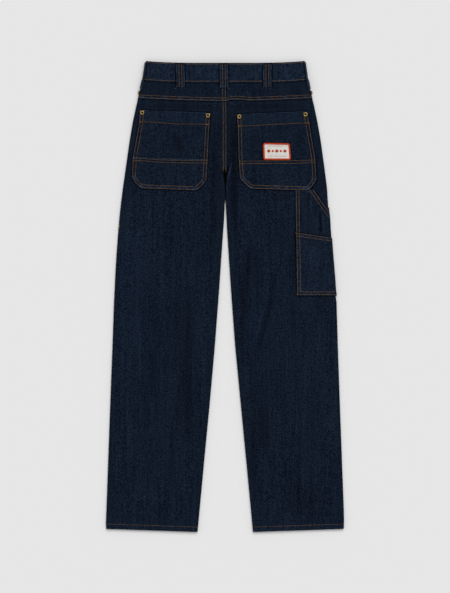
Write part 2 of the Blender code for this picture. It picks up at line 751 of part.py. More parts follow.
def rivet(name, place, axis, finish):
    """A copper-coloured rivet: a dished ring round a low centre."""
    profile = (
        (0.0, 0.0), (RIVET_RADIUS, 0.0), (RIVET_RADIUS, 0.5), (RIVET_RADIUS - 1.0, RIVET_HEIGHT),
        (RIVET_RADIUS - 2.4, RIVET_HEIGHT - 0.2), (1.4, 0.7), (0.0, 0.7),
    )
    return turned(name, profile, place, axis, finish)


def pocket_rivet(name, x, drop, finish):
    """A rivet at an upper corner of a back pocket, on the highest cloth under its ring."""
    seats = []
    for dx in (-RIVET_RADIUS, 0.0, RIVET_RADIUS):
        for dy in (-RIVET_RADIUS, 0.0, RIVET_RADIUS):
            seats.append(back_height(x + dx, drop + dy))
    z = max(seats) + 2 * SEAM_GAP + PLY + POCKET_HEM_EXTRA
    return rivet(name, (x, drop, z), (0.0, 0.0, 1.0), finish)


def side_rivet(name, side, finish):
    """The rivet at the outer end of a front pocket, on the lower half of the side fold."""
    drop = SIDE_RIVET_DROP
    bottom = front_height(side_x(side, drop), drop)
    half = seam_height(side, drop) - bottom
    angle = math.radians(SIDE_RIVET_ANGLE)
    reach = abs(side_x(side, drop)) + YOKE_LIFT
    x = side * (reach - FOLD_RADIUS + FOLD_RADIUS * math.cos(angle))
    z = bottom + half - half * math.sin(angle)
    run, fall = half * math.cos(angle), FOLD_RADIUS * math.sin(angle)
    flare = (abs(side_x(side, drop + 5.0)) - abs(side_x(side, drop - 5.0))) / 10.0
    axis = Vector((side * run, run * flare, -fall)).normalized()
    away = SEAM_GAP + 0.2
    place = (x + axis.x * away, drop - axis.y * away, z + axis.z * away)
    return rivet(name, place, axis, finish)


def waist_button(finish):
    """The tack button on the lapped ends of the band, with its face on the ground."""
    top = FRONT_BAND_FACE - SEAM_GAP
    profile = (
        (0.0, 0.0), (BUTTON_RADIUS - 0.8, 0.0), (BUTTON_RADIUS, 0.5), (BUTTON_RADIUS, 1.1),
        (6.0, top), (0.0, top),
    )
    drop = FRONT_WAIST_DIP + 0.5 * BAND_HEIGHT
    return turned("waist_button", profile, (0.0, drop, 0.0), (0.0, 0.0, 1.0), finish, steps=28)


def front_top_edge(x):
    """Drop of a front panel's top edge: along the band, then down the scooped pocket mouth."""
    return front_waist(x) + BAND_HEIGHT + SEAM_GAP + mouth_depth(x)


def mouth_depth(x):
    """How far a front pocket's mouth lies below the band at x."""
    share = max(0.0, (abs(x) - MOUTH_START) / (MOUTH_END - MOUTH_START))
    return MOUTH_SIDE_DEPTH * (1.0 - (1.0 - min(1.0, share)) ** MOUTH_ROUNDNESS)


def front_extra(drop):
    """How much further the front reaches at the side beside the yoke, which lies over the fold's base."""
    return YOKE_LIFT * (1.0 - smooth(YOKE_EDGE_SIDE - 4.0, YOKE_EDGE_SIDE + 10.0, drop))


def front_rows():
    """For each row of a front panel, a function from x to the drop of the row there."""
    rows = [lambda x, below=below: front_top_edge(x) + below for below in FRONT_TOP_ROWS]
    for level in FRONT_DROPS:
        def drop_of(x, level=level):
            near_top = max(0.0, 1.0 - (level - FRONT_TOP_LEVEL) / FRONT_TOP_RUN)
            near_hem = max(0.0, 1.0 - (LENGTH - level) / EDGE_RUN)
            bent = (front_top_edge(x) + FRONT_TOP_ROWS[-1] - FRONT_TOP_LEVEL) * near_top
            return level + bent + (hem_edge(x) - LENGTH) * near_hem
        rows.append(drop_of)
    rows += [lambda x, above=above: hem_edge(x) - above for above in FRONT_HEM_ROWS]
    return rows


def front_side(side, drop_of):
    """The side fold of a row of the front, and its first points."""
    far = drop_of(side * SIDE_AT_MOUTH)
    outer = side_x(side, far) + side * front_extra(far)
    seam = seam_height(side, drop_of(outer)) - 0.5 * SEAM_GAP
    return outer, fold_spots(outer, -side, drop_of(outer), seam, front_height, 1.0)


def front_panel(name, side, finish):
    """The lower layer of one leg and half of the front."""
    faces_out, faces_in = [], []
    for drop_of in front_rows():
        middle_drop = drop_of(side * MID_PANEL)
        outer, spots = front_side(side, drop_of)
        inner = inner_x(side, middle_drop)
        inner_seam = 0.5 * from_table(STACK, drop_of(inner), "fold") - 0.5 * SEAM_GAP
        flats = [mix(outer, inner, share) for share in FRONT_SHARES]
        spots += [flat_spot(x, drop_of(x), front_height, -1.0) for x in flats]
        ends = fold_spots(inner, side, drop_of(inner), inner_seam, front_height, crotch_share(middle_drop))
        spots += list(reversed(ends))
        wall = panel_wall(side, drop_of)
        faces_out.append([moved_out(spot, 0.0) for spot in spots])
        faces_in.append([moved_out(spot, -fold_wall(spot, wall)) for spot in spots])
    return shell(name, faces_out, faces_in, finish)


def mouth_columns(outer, inner):
    """Where a pocket facing's columns lie: on the front panel's own, and one between its last two."""
    return [mix(outer, inner, share) for share in FRONT_SHARES[:4] + (FACING_END_SHARE,)]


def front_facing(name, side, finish):
    """The cloth that shows in a front pocket's mouth, between the band, the panel and the side seam."""
    faces_out, faces_in = [], []
    edge = front_top_edge(side * SIDE_AT_MOUTH)
    widest = side_x(side, edge) + side * front_extra(edge)
    stops = mouth_columns(widest, inner_x(side, edge))
    next_stop = mix(widest, inner_x(side, edge), FRONT_SHARES[4])

    def mouth_edge(x):
        """The panel's top edge as its columns draw it, with straight lines between them."""
        if abs(x) >= abs(stops[-2]):
            return front_top_edge(x)
        share = (x - stops[-2]) / (next_stop - stops[-2])
        return mix(front_top_edge(stops[-2]), front_top_edge(next_stop), share)

    for share in (0.0, 0.5, 1.0):
        def drop_of(x, share=share):
            upper = front_waist(x) + BAND_HEIGHT + SEAM_GAP
            return mix(upper, mouth_edge(x) - 2 * SEAM_GAP, share)
        outer, spots = front_side(side, drop_of)
        spots += [flat_spot(x, drop_of(x), front_height, -1.0) for x in stops]
        faces_out.append([moved_out(spot, 0.0) for spot in spots])
        faces_in.append([moved_out(spot, -PLY) for spot in spots])
    return shell(name, faces_out, faces_in, finish)


def front_zip(finish):
    """The closed zip behind the fly: two tapes with the row of teeth as a ridge between them."""
    faces_out, faces_in = [], []
    top = front_top_edge(0.0)
    for run in ZIP_RUNS:
        out_row, in_row = [], []
        for share, ridge in ZIP_SECTION:
            x = MIDDLE_LINE + share * ZIP_HALF_WIDTH
            seat = front_height(x, top + run) + PLY + SEAM_GAP
            out_row.append((x, top + run, seat + ZIP_PLY + ridge))
            in_row.append((x, top + run, seat))
        faces_out.append(out_row)
        faces_in.append(in_row)
    return shell("fly_zip", faces_out, faces_in, finish)


def centred():
    """Moves the whole garment so that its box stands centred on the origin."""
    bpy.context.view_layer.update()
    corners = []
    for made in bpy.data.objects:
        if made.type == "MESH":
            corners += [made.matrix_world @ vertex.co for vertex in made.data.vertices]
    parent = bpy.data.objects["jeans"]
    low = Vector([min(corner[axis] for corner in corners) for axis in range(3)])
    high = Vector([max(corner[axis] for corner in corners) for axis in range(3)])
    parent.location = (-0.5 * (low.x + high.x), -0.5 * (low.y + high.y), -low.z)


def main():
    """Builds every piece of the garment under one empty."""
    for old in list(bpy.data.objects):
        bpy.data.objects.remove(old)
    parent = bpy.data.objects.new("jeans", None)
    bpy.context.scene.collection.objects.link(parent)
    denim = material("dark_denim", (0.010, 0.016, 0.030), 0.85)
    patch_cloth = material("patch_cloth", (0.72, 0.68, 0.62), 0.8)
    brass = material("aged_brass", (0.45, 0.33, 0.14), 0.42, 0.9)
    zip_brass = material("zip_brass", (0.38, 0.28, 0.12), 0.5, 0.6)

    for word, side in (("left", -1), ("right", 1)):
        back_panel(f"back_{word}", side, denim)
        front_panel(f"front_{word}", side, denim)
        front_facing(f"front_pocket_{word}", side, denim)
        yoke(f"yoke_{word}", side, denim)
        side_loop(f"belt_loop_side_{word}", side, denim)
        side_rivet(f"rivet_front_{word}", side, brass)
    waistband(denim)
    for name, x in BACK_LOOPS:
        back_loop(name, x, denim)
    for name, x in FRONT_LOOPS:
        front_loop(name, x, denim)
    for spec in BACK_POCKETS:
        back_pocket(spec, denim)
    leg_pocket("tool_pocket", tool_mouth, SEAM_GAP, denim)
    leg_pocket("rule_pocket", rule_mouth, 2 * SEAM_GAP + PLY, denim)
    patch(patch_cloth)
    for name, x, drop in BACK_RIVETS:
        pocket_rivet(name, x, drop, brass)
    waist_button(brass)
    front_zip(zip_brass)
    centred()


main()
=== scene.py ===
"""Dressed model of carpenter jeans that lie flat with the back up.

Sizes are in millimetres in the garment's own terms: x across, positive to the right, a drop down from
the waist's top edge, and z up from the ground. world() turns them into metres in the frame.
"""

import logging
import math
from dataclasses import dataclass, field
from enum import Enum, auto
from typing import Callable, Sequence

import bpy
import numpy as np
from mathutils import Matrix, Vector

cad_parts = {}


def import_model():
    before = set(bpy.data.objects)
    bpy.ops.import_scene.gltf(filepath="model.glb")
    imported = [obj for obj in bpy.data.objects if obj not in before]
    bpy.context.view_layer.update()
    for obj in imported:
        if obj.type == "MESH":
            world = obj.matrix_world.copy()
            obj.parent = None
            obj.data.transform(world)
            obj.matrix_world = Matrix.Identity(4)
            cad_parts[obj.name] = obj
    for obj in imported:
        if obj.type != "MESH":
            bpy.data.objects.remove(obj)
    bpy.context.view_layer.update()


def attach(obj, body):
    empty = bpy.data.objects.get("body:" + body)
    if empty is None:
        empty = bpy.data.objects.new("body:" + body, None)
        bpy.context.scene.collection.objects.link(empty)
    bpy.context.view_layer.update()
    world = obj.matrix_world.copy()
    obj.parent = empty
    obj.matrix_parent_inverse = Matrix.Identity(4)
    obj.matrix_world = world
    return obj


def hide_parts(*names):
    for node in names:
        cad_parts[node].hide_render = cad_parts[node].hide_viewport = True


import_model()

log = logging.getLogger("jeans")

Array = np.ndarray
Number = float | Array
Point = tuple[float, float]
Colour = tuple[float, float, float]
Field = Callable[[Array, Array], Array]
Along = Callable[[Array], Array]
Surface = Callable[[Array, Array], tuple[Array, Array]]
Piece = bpy.types.Object
Finish = bpy.types.Material
Socket = bpy.types.NodeSocket

MM = 0.001
LENGTH = 1077.6
FRAME_SHIFT = 0.13
PLY = 1.2
SEAM_GAP = 0.3
BAND_HEIGHT = 45.4
BAND_PLY = 2.2
WAIST_HALF = 184.0
HEM_DEPTH = 12.0
FOLD_RADIUS = 4.5
LOOP_PLY = 2.0
FRONT_BAND_FACE = LOOP_PLY + SEAM_GAP
YOKE_LIFT = SEAM_GAP + PLY
BAND_ABOVE_BASE = YOKE_LIFT + 0.9
YOKE_LAP = 8.0
MIDDLE_LINE = 0.9
FELL_REACH = 2.8
FELL_RISE = 1.35
FELL_EDGE = (-8.2, -5.6)
FAR = 99.0
SIDES = (("left", -1), ("right", 1))
FOLD_STEPS = np.radians(np.array([0.0, 12.0, 25.0, 40.0, 56.0, 73.0, 90.0]))


def smooth(low: float, high: float, value: Number) -> Number:
    """An eased step from 0 at low to 1 at high."""
    t = np.clip((value - low) / (high - low), 0.0, 1.0)
    return t * t * (3.0 - 2.0 * t)


def fade(low: float, high: float, value: Number) -> Number:
    """An eased step from 1 at low to 0 at high."""
    return 1.0 - smooth(low, high, value)


def mix(a: Number, b: Number, t: Number) -> Number:
    """The value a share t of the way from a to b."""
    return a + (b - a) * t


def bell(value: Number, centre: float, width: float) -> Number:
    """1 at a centre, falling to 0 on both sides over a width."""
    return np.exp(-(((value - centre) / width) ** 2))


def roping(along: Array, period: float, drift: float, slow: Array) -> Array:
    """Waves from -1 to 1 along a seam, whose even period drifts a little."""
    return np.sin(along * math.tau / period + drift * np.sin(slow))


def still(drop: Array) -> Array:
    """No change at any drop."""
    return 0.0 * drop


def spaced(start: float, end: float, step: float) -> Array:
    """Even steps from start to end, both included."""
    return np.linspace(start, end, max(2, int(round(abs(end - start) / step)) + 1))


def world(x: Array, drop: Array, z: Array) -> Array:
    """Points in metres in the frame, with X, Y and Z as the last axis."""
    x, drop, z = np.broadcast_arrays(x, drop, z)
    return np.stack([x, LENGTH / 2 - drop + FRAME_SHIFT, z], axis=-1) * MM


def to_segment(a: Point, b: Point, x: Array, drop: Array) -> tuple[Array, Array]:
    """How far places lie from a straight line between two points.

    Args:
        a, b: The line's ends.
        x, drop: The places.

    Returns:
        The distances, and the shares of the way from a to b of the nearest points.
    """
    (ax, ay), (bx, by) = a, b
    square = max(1e-6, (bx - ax) ** 2 + (by - ay) ** 2)
    t = np.clip(((x - ax) * (bx - ax) + (drop - ay) * (by - ay)) / square, 0.0, 1.0)
    return np.hypot(x - mix(ax, bx, t), drop - mix(ay, by, t)), t


def outside(outline: Sequence[Point], x: Array, drop: Array) -> Array:
    """How far places lie outside a closed outline.

    Args:
        outline: Its (x, drop) corners in order.
        x, drop: The places.

    Returns:
        Distances in millimetres, negative inside it.
    """
    best, within = np.full(x.shape, 1e6), np.zeros(x.shape, bool)
    for (ax, ay), (bx, by) in zip(outline, [*outline[1:], outline[0]]):
        best = np.minimum(best, to_segment((ax, ay), (bx, by), x, drop)[0])
        if ay != by:
            within ^= ((ay > drop) != (by > drop)) & (x < ax + (bx - ax) * (drop - ay) / (by - ay))
    return np.where(within, -best, best)


def inset(path: Sequence[Point], distance: float) -> list[Point]:
    """A line moved to the inside of an outline, with its corners mitred.

    Args:
        path: (x, drop) points down the outline's left side, along its bottom and up its right side.
        distance: How far inside it lies, in millimetres.

    Returns:
        The moved points.
    """
    moved = []
    for k, here in enumerate(path):
        normals = []
        for (ax, ay), (bx, by) in ((path[max(0, k - 1)], here), (here, path[min(len(path) - 1, k + 1)])):
            length = math.hypot(bx - ax, by - ay)
            if length > 0.0:
                normals.append(((by - ay) / length, -(bx - ax) / length))
        nx, ny = sum(n[0] for n in normals), sum(n[1] for n in normals)
        size = (nx * nx + ny * ny) / len(normals)
        moved.append((here[0] + distance * nx / size, here[1] + distance * ny / size))
    return moved


def folded(flat: Array, seam: Array, turn: Array, side: Number, up: int = 1) -> tuple[Array, Array, Array]:
    """A quarter turn of cloth from a seam at the side to a flat face.

    Args:
        flat, seam: The heights of the flat face and of the seam.
        turn: Angles in radians, from 0 at the seam to a right angle at the face.
        side: The way out across, -1 or 1.
        up: The way out of the face, 1 or -1.

    Returns:
        Heights, and the way out of the cloth as nx and nz.
    """
    run, climb = FOLD_RADIUS * np.sin(turn), np.abs(flat - seam) * np.cos(turn)
    size = np.hypot(run, climb)
    return seam + (flat - seam) * np.sin(turn), side * climb / size, up * run / size


def flat_face(height: Field, up: float = 1.0) -> Surface:
    """A surface at a height, whose way out is straight up or straight down.

    Args:
        height: From (x, drop) to heights.
        up: 1 for up and -1 for down.

    Returns:
        A function from (x, drop) to points and to directions out of the cloth.
    """

    def surface(x: Array, drop: Array) -> tuple[Array, Array]:
        """Points and directions at places."""
        outs = np.zeros(x.shape + (3,))
        outs[..., 2] = up
        return np.stack([x, drop, height(x, drop)], axis=-1), outs

    return surface


@dataclass(frozen=True)
class Table:
    """Named columns of sizes against a drop, read with straight lines between the rows."""

    columns: tuple[str, ...]
    rows: tuple[tuple[float, ...], ...]

    def read(self, column: str, drop: Number) -> Number:
        """The value of a column at a drop."""
        at = self.columns.index(column)
        return np.interp(drop, [row[0] for row in self.rows], [row[at] for row in self.rows])


@dataclass(frozen=True)
class Crease:
    """A soft trough or ridge in the cloth, along a line of (x, drop) points.

    A positive rise is a ridge on the back, and cloth that stands off the ground on the front.
    """

    path: tuple[Point, ...]
    width: float
    rise: float

    def height(self, x: Array, drop: Array) -> Array:
        """What the crease adds to the cloth's height.

        Args:
            x, drop: Places in millimetres.

        Returns:
            Heights in millimetres, 0 away from the crease.
        """
        lengths = [math.dist(a, b) for a, b in zip(self.path, self.path[1:])]
        run, best = 0.0, np.zeros(np.broadcast(x, drop).shape)
        for a, b, length in zip(self.path, self.path[1:], lengths):
            away, t = to_segment(a, b, x, drop)
            along = (run + t * length) / sum(lengths)
            ends = smooth(-0.05, 0.35, along) * fade(0.65, 1.05, along)
            best = np.maximum(best, np.clip(1.0 - (away / self.width) ** 2, 0.0, 1.0) ** 2 * ends)
            run += length
        return self.rise * best


def ridges(*rows: tuple[float, ...]) -> tuple[Crease, ...]:
    """Creases from rows of a width, a rise, and then x and drop of each point."""
    return tuple(Crease(tuple(zip(row[2::2], row[3::2])), row[0], row[1]) for row in rows)


def creased(creases: Sequence[Crease], x: Number, drop: Number) -> Array:
    """The heights of several creases together."""
    places = np.asarray(x, float), np.asarray(drop, float)
    return sum((crease.height(*places) for crease in creases), np.zeros(np.broadcast(x, drop).shape))


@dataclass(frozen=True)
class Garment:
    """How the garment lies: its outline, the heights of its two layers, and their creases."""

    outseam: Table = Table(
        ("drop", "left", "right"), (
            (0, 183.2, 184.4), (48, 188.7, 189.9), (66, 192.4, 193.4), (84, 197.6, 198.2), (98, 202, 202.9),
            (139, 210.9, 211.6), (180.5, 218, 218.9), (235.5, 225.8, 226.5), (290.5, 233.6, 233.6),
            (331.5, 238.8, 236.1), (359, 241.6, 239.4), (386.5, 244.1, 240.9), (441.5, 248.2, 245),
            (496.5, 251.4, 249.6), (524, 252.6, 251.4), (551.5, 254, 255.4), (650, 257.4, 258.3),
            (787.5, 262.7, 263.1), (925, 267.7, 268.2), (1028, 271.4, 272.1), (1056, 272.5, 272.5),
            (LENGTH, 271.9, 271.6),
        ),
    )
    inseam: Table = Table(
        ("drop", "left", "right"), (
            (0, 0.75, 1.05), (300, 0.85, 0.95), (314, 0.7, 0.9), (320, 0, 1), (326, -0.6, 1.6),
            (339.6, -1.1, 2.4), (353.4, -1.7, 3.2), (367.1, -2.4, 3.8), (386.5, -3.9, 4.9),
            (441.5, -7.8, 8.4), (524, -13.4, 13.8), (650, -23, 23.1), (787.5, -35.2, 36.4),
            (925, -48.5, 49.6), (1028, -58.1, 59.5), (LENGTH, -62.8, 64),
        ),
    )
    stack: Table = Table(
        ("drop", "middle", "fold"), (
            (0, 6.6, 6.8), (60, 6.6, 6.8), (110, 6, 6.4), (180, 5.4, 6.1), (290, 4.9, 6), (420, 4.6, 5.8),
            (650, 4.4, 5.6), (980, 4.6, 5.7), (1050, 5.6, 6.2), (LENGTH, 6.4, 6.5),
        ),
    )
    back_dip: float = 4.6
    front_dip: float = 24.0
    yoke_side: float = 86.0
    yoke_middle: float = 93.0
    yoke_half: float = 198.0
    hem_slope: float = 7.0
    hem_inner: float = 66.0
    hem_run: float = 206.0
    crotch_drops: Point = (238.0, 288.0)
    fold_shoulder: Point = (9.0, 38.0)
    closure_bulge: float = 1.6
    closure_across: Point = (24.0, 90.0)
    closure_drops: Point = (60.0, 150.0)
    side_rivet_lift: float = 3.1
    trough_ends: Point = (90.0, 110.0)
    troughs: tuple[tuple[float, ...], ...] = (
        (-86, 500, 860, 20, 0.7), (-150, 640, 980, 24, 0.4), (-196, 380, 640, 22, 0.4),
        (41, 400, 700, 18, 0.5), (92, 560, 960, 24, 0.5), (158, 555, 680, 16, 0.6),
        (196, 700, 1000, 24, 0.4),
    )
    back_creases: tuple[Crease, ...] = ridges(
        (4.2, 1, 1.5, 276, 6, 262, 12, 246, 15, 228), (4, -0.7, 2.5, 266, 7, 252, 8.5, 236),
        (11, 0.45, -4, 254, -13, 300, -30, 370), (10, 0.45, 7, 290, 20, 340, 42, 410),
        (8, -0.4, -13, 128, -11, 170, -13, 232), (8, -0.4, 17, 128, 18, 176, 17, 214),
        (4.5, 0.35, 24, 100, 21, 118, 23, 150), (4, 0.3, -24, 104, -26, 132),
        (7, -0.8, 163, 542, 166, 596, 162, 655), (8, 0.5, 174, 545, 177, 600, 174, 640),
        (12, -0.45, 66, 540, 62, 690, 71, 850), (7, 0.4, 28, 430, 34, 520, 36, 570),
        (13, -0.35, 124, 300, 118, 380, 123, 470), (14, -0.35, -206, 470, -201, 600, -209, 760),
        (10, 0.4, -54, 455, -60, 520, -58, 590), (12, -0.35, -118, 300, -110, 370, -116, 440),
        (14, -0.35, -120, 870, -112, 960, -117, 1030), (12, 0.35, -70, 900, -100, 990),
        (12, 0.35, 120, 880, 132, 990, 126, 1040), (6, -0.3, -232, 330, -229, 400),
        (8, 0.35, -153, 1012, -147, 1062), (9, 0.3, 168, 1020, 163, 1064), (5, 0.3, -60, 54, -63, 82),
        (3.4, 0.55, 8, 50, 17, 66, 20, 84), (5, -0.3, 52, 52, 47, 80), (6, 0.25, -150, 54, -147, 80),
        (6, 0.25, 150, 56, 146, 82),
    )
    # Painted shading laid out as creases: a positive rise is painted shade, a negative one painted light;
    # they add no height.
    painted_shading: tuple[Crease, ...] = ridges(
        (27, 0.17, -107, 490, -92, 620, -90, 787, -92, 900), (20, 0.1, -80, 720, -74, 820, -80, 960),
        (52, -0.14, -195, 300, -205, 480, -215, 720), (14, 0.3, -23, 100, -24, 240, -25, 380, -42, 470),
        (14, 0.46, 19, 96, 20, 230, 22, 350, 29, 420), (40, 0.16, 0, 96, 1, 200, 1, 300),
        (12, 0.38, 70, 360, 56, 440, 44, 530, 38, 634, 46, 715), (10, 0.34, 116, 490, 98, 575, 66, 700),
        (7, -0.3, 100, 500, 80, 600, 58, 668), (12, 0.1, 60, 420, 82, 480, 96, 500),
        (8, 0.26, 155, 380, 154, 500), (7, 0.28, 157, 540, 158, 640), (15, 0.3, 84, 770, 88, 900),
        (15, 0.24, 62, 700, 68, 900, 74, 1060), (28, 0.2, 120, 296, 122, 322),
        (11, 0.22, -196, 102, -100, 104, -6, 108), (11, 0.26, 10, 106, 100, 104, 200, 100),
        (14, 0.18, 172, 970, 172, 1060), (12, 0.18, -149, 1000, -149, 1062),
        (60, 0.16, 120, 985, 190, 1000, 240, 1040), (7, -0.28, -195, 580, -194, 740),
        (8, -0.14, -145, 430, -144, 560), (22, -0.14, -235, 380, -240, 560),
        (15, -0.16, -50, 600, -52, 740), (10, -0.12, -220, 700, -222, 900), (6, 0.14, -170, 640, -166, 800),
        (7, 0.14, -128, 820, -126, 980), (8, 0.1, -205, 820, -205, 1000), (8, -0.28, 184, 650, 180, 860),
        (24, -0.16, 216, 560, 220, 760), (9, -0.1, 140, 600, 138, 720),
        (3.2, 1.2, -4.2, 240, -1.2, 262, 0.4, 284), (3.2, 1.2, 6.2, 240, 3.4, 262, 1.4, 284),
        (3.4, 1.2, 1, 248, 0.9, 264, 0.9, 280), (1.9, 1.4, 0.9, 256, 0.9, 290, 0.9, 322),
        (2.4, -2.4, 3, 276, 7.4, 262, 12.4, 246, 15, 230), (3.2, 0.45, 3.5, 266, 6.5, 250, 10, 232),
        (2, -1, 3.2, 280, 4, 300), (2.4, -0.8, 15, 230, 14, 214), (20, 0.22, 70, 56, 74, 84),
        (14, 0.16, -60, 60, -20, 84), (12, 0.16, 150, 62, 180, 84),
    )
    front_creases: tuple[Crease, ...] = ridges(
        (9, 1.1, -6, 262, -26, 300, -62, 340), (7, 0.8, -8, 284, -34, 338),
        (10, 1.2, 9, 258, 34, 296, 84, 330), (7, 0.7, 10, 282, 40, 342),
        (9, 0.6, -44, 120, -56, 180, -50, 240), (8, 0.5, 52, 130, 60, 190, 54, 238),
        (14, 0.6, -210, 470, -150, 520), (10, 0.45, -196, 520, -120, 540), (13, 0.6, 130, 500, 206, 470),
        (9, 0.4, 96, 548, 190, 530), (16, 0.5, -130, 620, -138, 800, -142, 940),
        (15, 0.5, 126, 640, 140, 800, 146, 960), (13, 0.4, -204, 760, -214, 900),
        (12, 0.45, 70, 760, 80, 930), (9, 0.4, -96, 930, -88, 1040), (10, 0.4, 214, 930, 220, 1045),
    )

    def by_side(self, side: Number, table: Table, drop: Number, outward: float) -> Number:
        """A table's left or right column at a drop: side is -1 on the left and 1 on the right."""
        return np.where(np.asarray(side) < 0, outward * table.read("left", drop), table.read("right", drop))

    def side_x(self, side: Number, drop: Number) -> Number:
        """Where the outer fold of a side lies."""
        return self.by_side(side, self.outseam, drop, -1.0)

    def inner_x(self, side: Number, drop: Number) -> Number:
        """Where the inner fold of a leg lies, and the seat's middle line above the legs."""
        return self.by_side(side, self.inseam, drop, 1.0)

    def back_waist(self, x: Number) -> Number:
        """The drop of the back's top edge."""
        return self.back_dip * (1.0 - np.minimum(1.0, np.abs(x) / WAIST_HALF) ** 4)

    def front_waist(self, x: Number) -> Number:
        """The drop of the front's top edge."""
        return self.front_dip * (1.0 - np.minimum(1.0, np.abs(x) / WAIST_HALF) ** 2)

    def yoke_edge(self, x: Number) -> Number:
        """The drop of the yoke's lower edge."""
        return mix(self.yoke_middle, self.yoke_side, np.minimum(1.0, np.abs(x) / self.yoke_half) ** 1.5)

    def hem_edge(self, x: Number) -> Number:
        """The drop of the hem, whose outer corners stand a little above the inner ones."""
        return LENGTH - self.hem_slope * np.maximum(0.0, (np.abs(x) - self.hem_inner) / self.hem_run)

    def crotch_share(self, drop: Number) -> Number:
        """0 where the two halves of the seat are one sheet, 1 where each leg has its own inner fold."""
        return smooth(*self.crotch_drops, drop)

    def plain_back(self, x: Number, drop: Number) -> Number:
        """The height of the upper layer's outer face with its largest troughs only, as in the solids.

        Args:
            x, drop: Places.

        Returns:
            Heights.
        """
        side = np.where(np.asarray(x) < MIDDLE_LINE, -1, 1)
        middle, fold = self.stack.read("middle", drop), self.stack.read("fold", drop)
        near_outer = fade(*self.fold_shoulder, np.abs(self.side_x(side, drop) - x))
        near_inner = fade(*self.fold_shoulder, np.abs(self.inner_x(side, drop) - x))
        lift = (fold - middle) * np.maximum(near_outer, near_inner * self.crotch_share(drop))
        bulge = fade(*self.closure_across, np.abs(x)) * fade(*self.closure_drops, drop)
        (first, last), depth = self.trough_ends, 0.0
        for at, start, end, half_width, deep in self.troughs:
            across = np.maximum(0.0, 1.0 - ((x - at) / half_width) ** 2) ** 2
            along = smooth(start, start + first, drop) * fade(end - last, end, drop)
            depth = depth + deep * across * along
        return middle + lift + self.closure_bulge * bulge - depth

    def back_height(self, x: Number, drop: Number) -> Number:
        """The height of the upper layer's outer face with all its creases."""
        return self.plain_back(x, drop) + creased(self.back_creases, x, drop)

    def plain_front(self, x: Number, drop: Number) -> Number:
        """The height of the lower layer's outer face, which leaves the ground only near the waistband.

        Args:
            x, drop: Places.

        Returns:
            Heights.
        """
        below = drop - self.front_waist(x) - BAND_HEIGHT
        over_rivet = smooth(120.0, 180.0, np.abs(x)) * fade(38.0, 80.0, below)
        lift = self.side_rivet_lift * over_rivet * smooth(-1.0, 12.0, below)
        return np.maximum(FRONT_BAND_FACE * fade(0.0, 45.0, below), lift)

    def front_height(self, x: Number, drop: Number) -> Number:
        """The height of the lower layer's outer face with its creases, which only lift it."""
        return self.plain_front(x, drop) + creased(self.front_creases, x, drop)

    def seam_height(self, side: Number, drop: Number) -> Number:
        """The height of a side seam, half way up the fold."""
        return 0.5 * (self.stack.read("fold", drop) + self.plain_front(self.side_x(side, drop), drop))

    def on_back(self, lift: float | Field) -> Surface:
        """A surface at a distance outside the back, carried round the outer folds.

        Args:
            lift: Millimetres outside the upper layer's outer face, or a function of (x, drop) for them.

        Returns:
            A function from (x, drop) to points and to directions out of the cloth.
        """

        def surface(x: Array, drop: Array) -> tuple[Array, Array]:
            """Points and directions at places.

            Args:
                x, drop: The places.

            Returns:
                Points in (x, drop, z) and directions.
            """
            side = np.where(x < MIDDLE_LINE, -1.0, 1.0)
            edge = self.side_x(side, drop)
            from_edge = np.clip(side * (edge - x), 0.0, FOLD_RADIUS)
            flat = self.back_height(np.where(from_edge < FOLD_RADIUS, edge - side * FOLD_RADIUS, x), drop)
            seam = self.seam_height(side, drop) + 0.5 * SEAM_GAP
            z, nx, nz = folded(flat, seam, np.arccos(1.0 - from_edge / FOLD_RADIUS), side)
            out = lift(x, drop) if callable(lift) else lift
            at = side * np.minimum(side * x, side * edge)
            points = np.stack([at + nx * out, drop, z + nz * out], axis=-1)
            return points, np.stack([nx, np.zeros_like(nx), nz], axis=-1)

        return surface

    def on_front(self, lift: float) -> Surface:
        """A surface at a distance outside the front's outer face, away from the folds."""
        return flat_face(lambda x, drop: self.front_height(x, drop) - lift, -1.0)


JEANS = Garment()


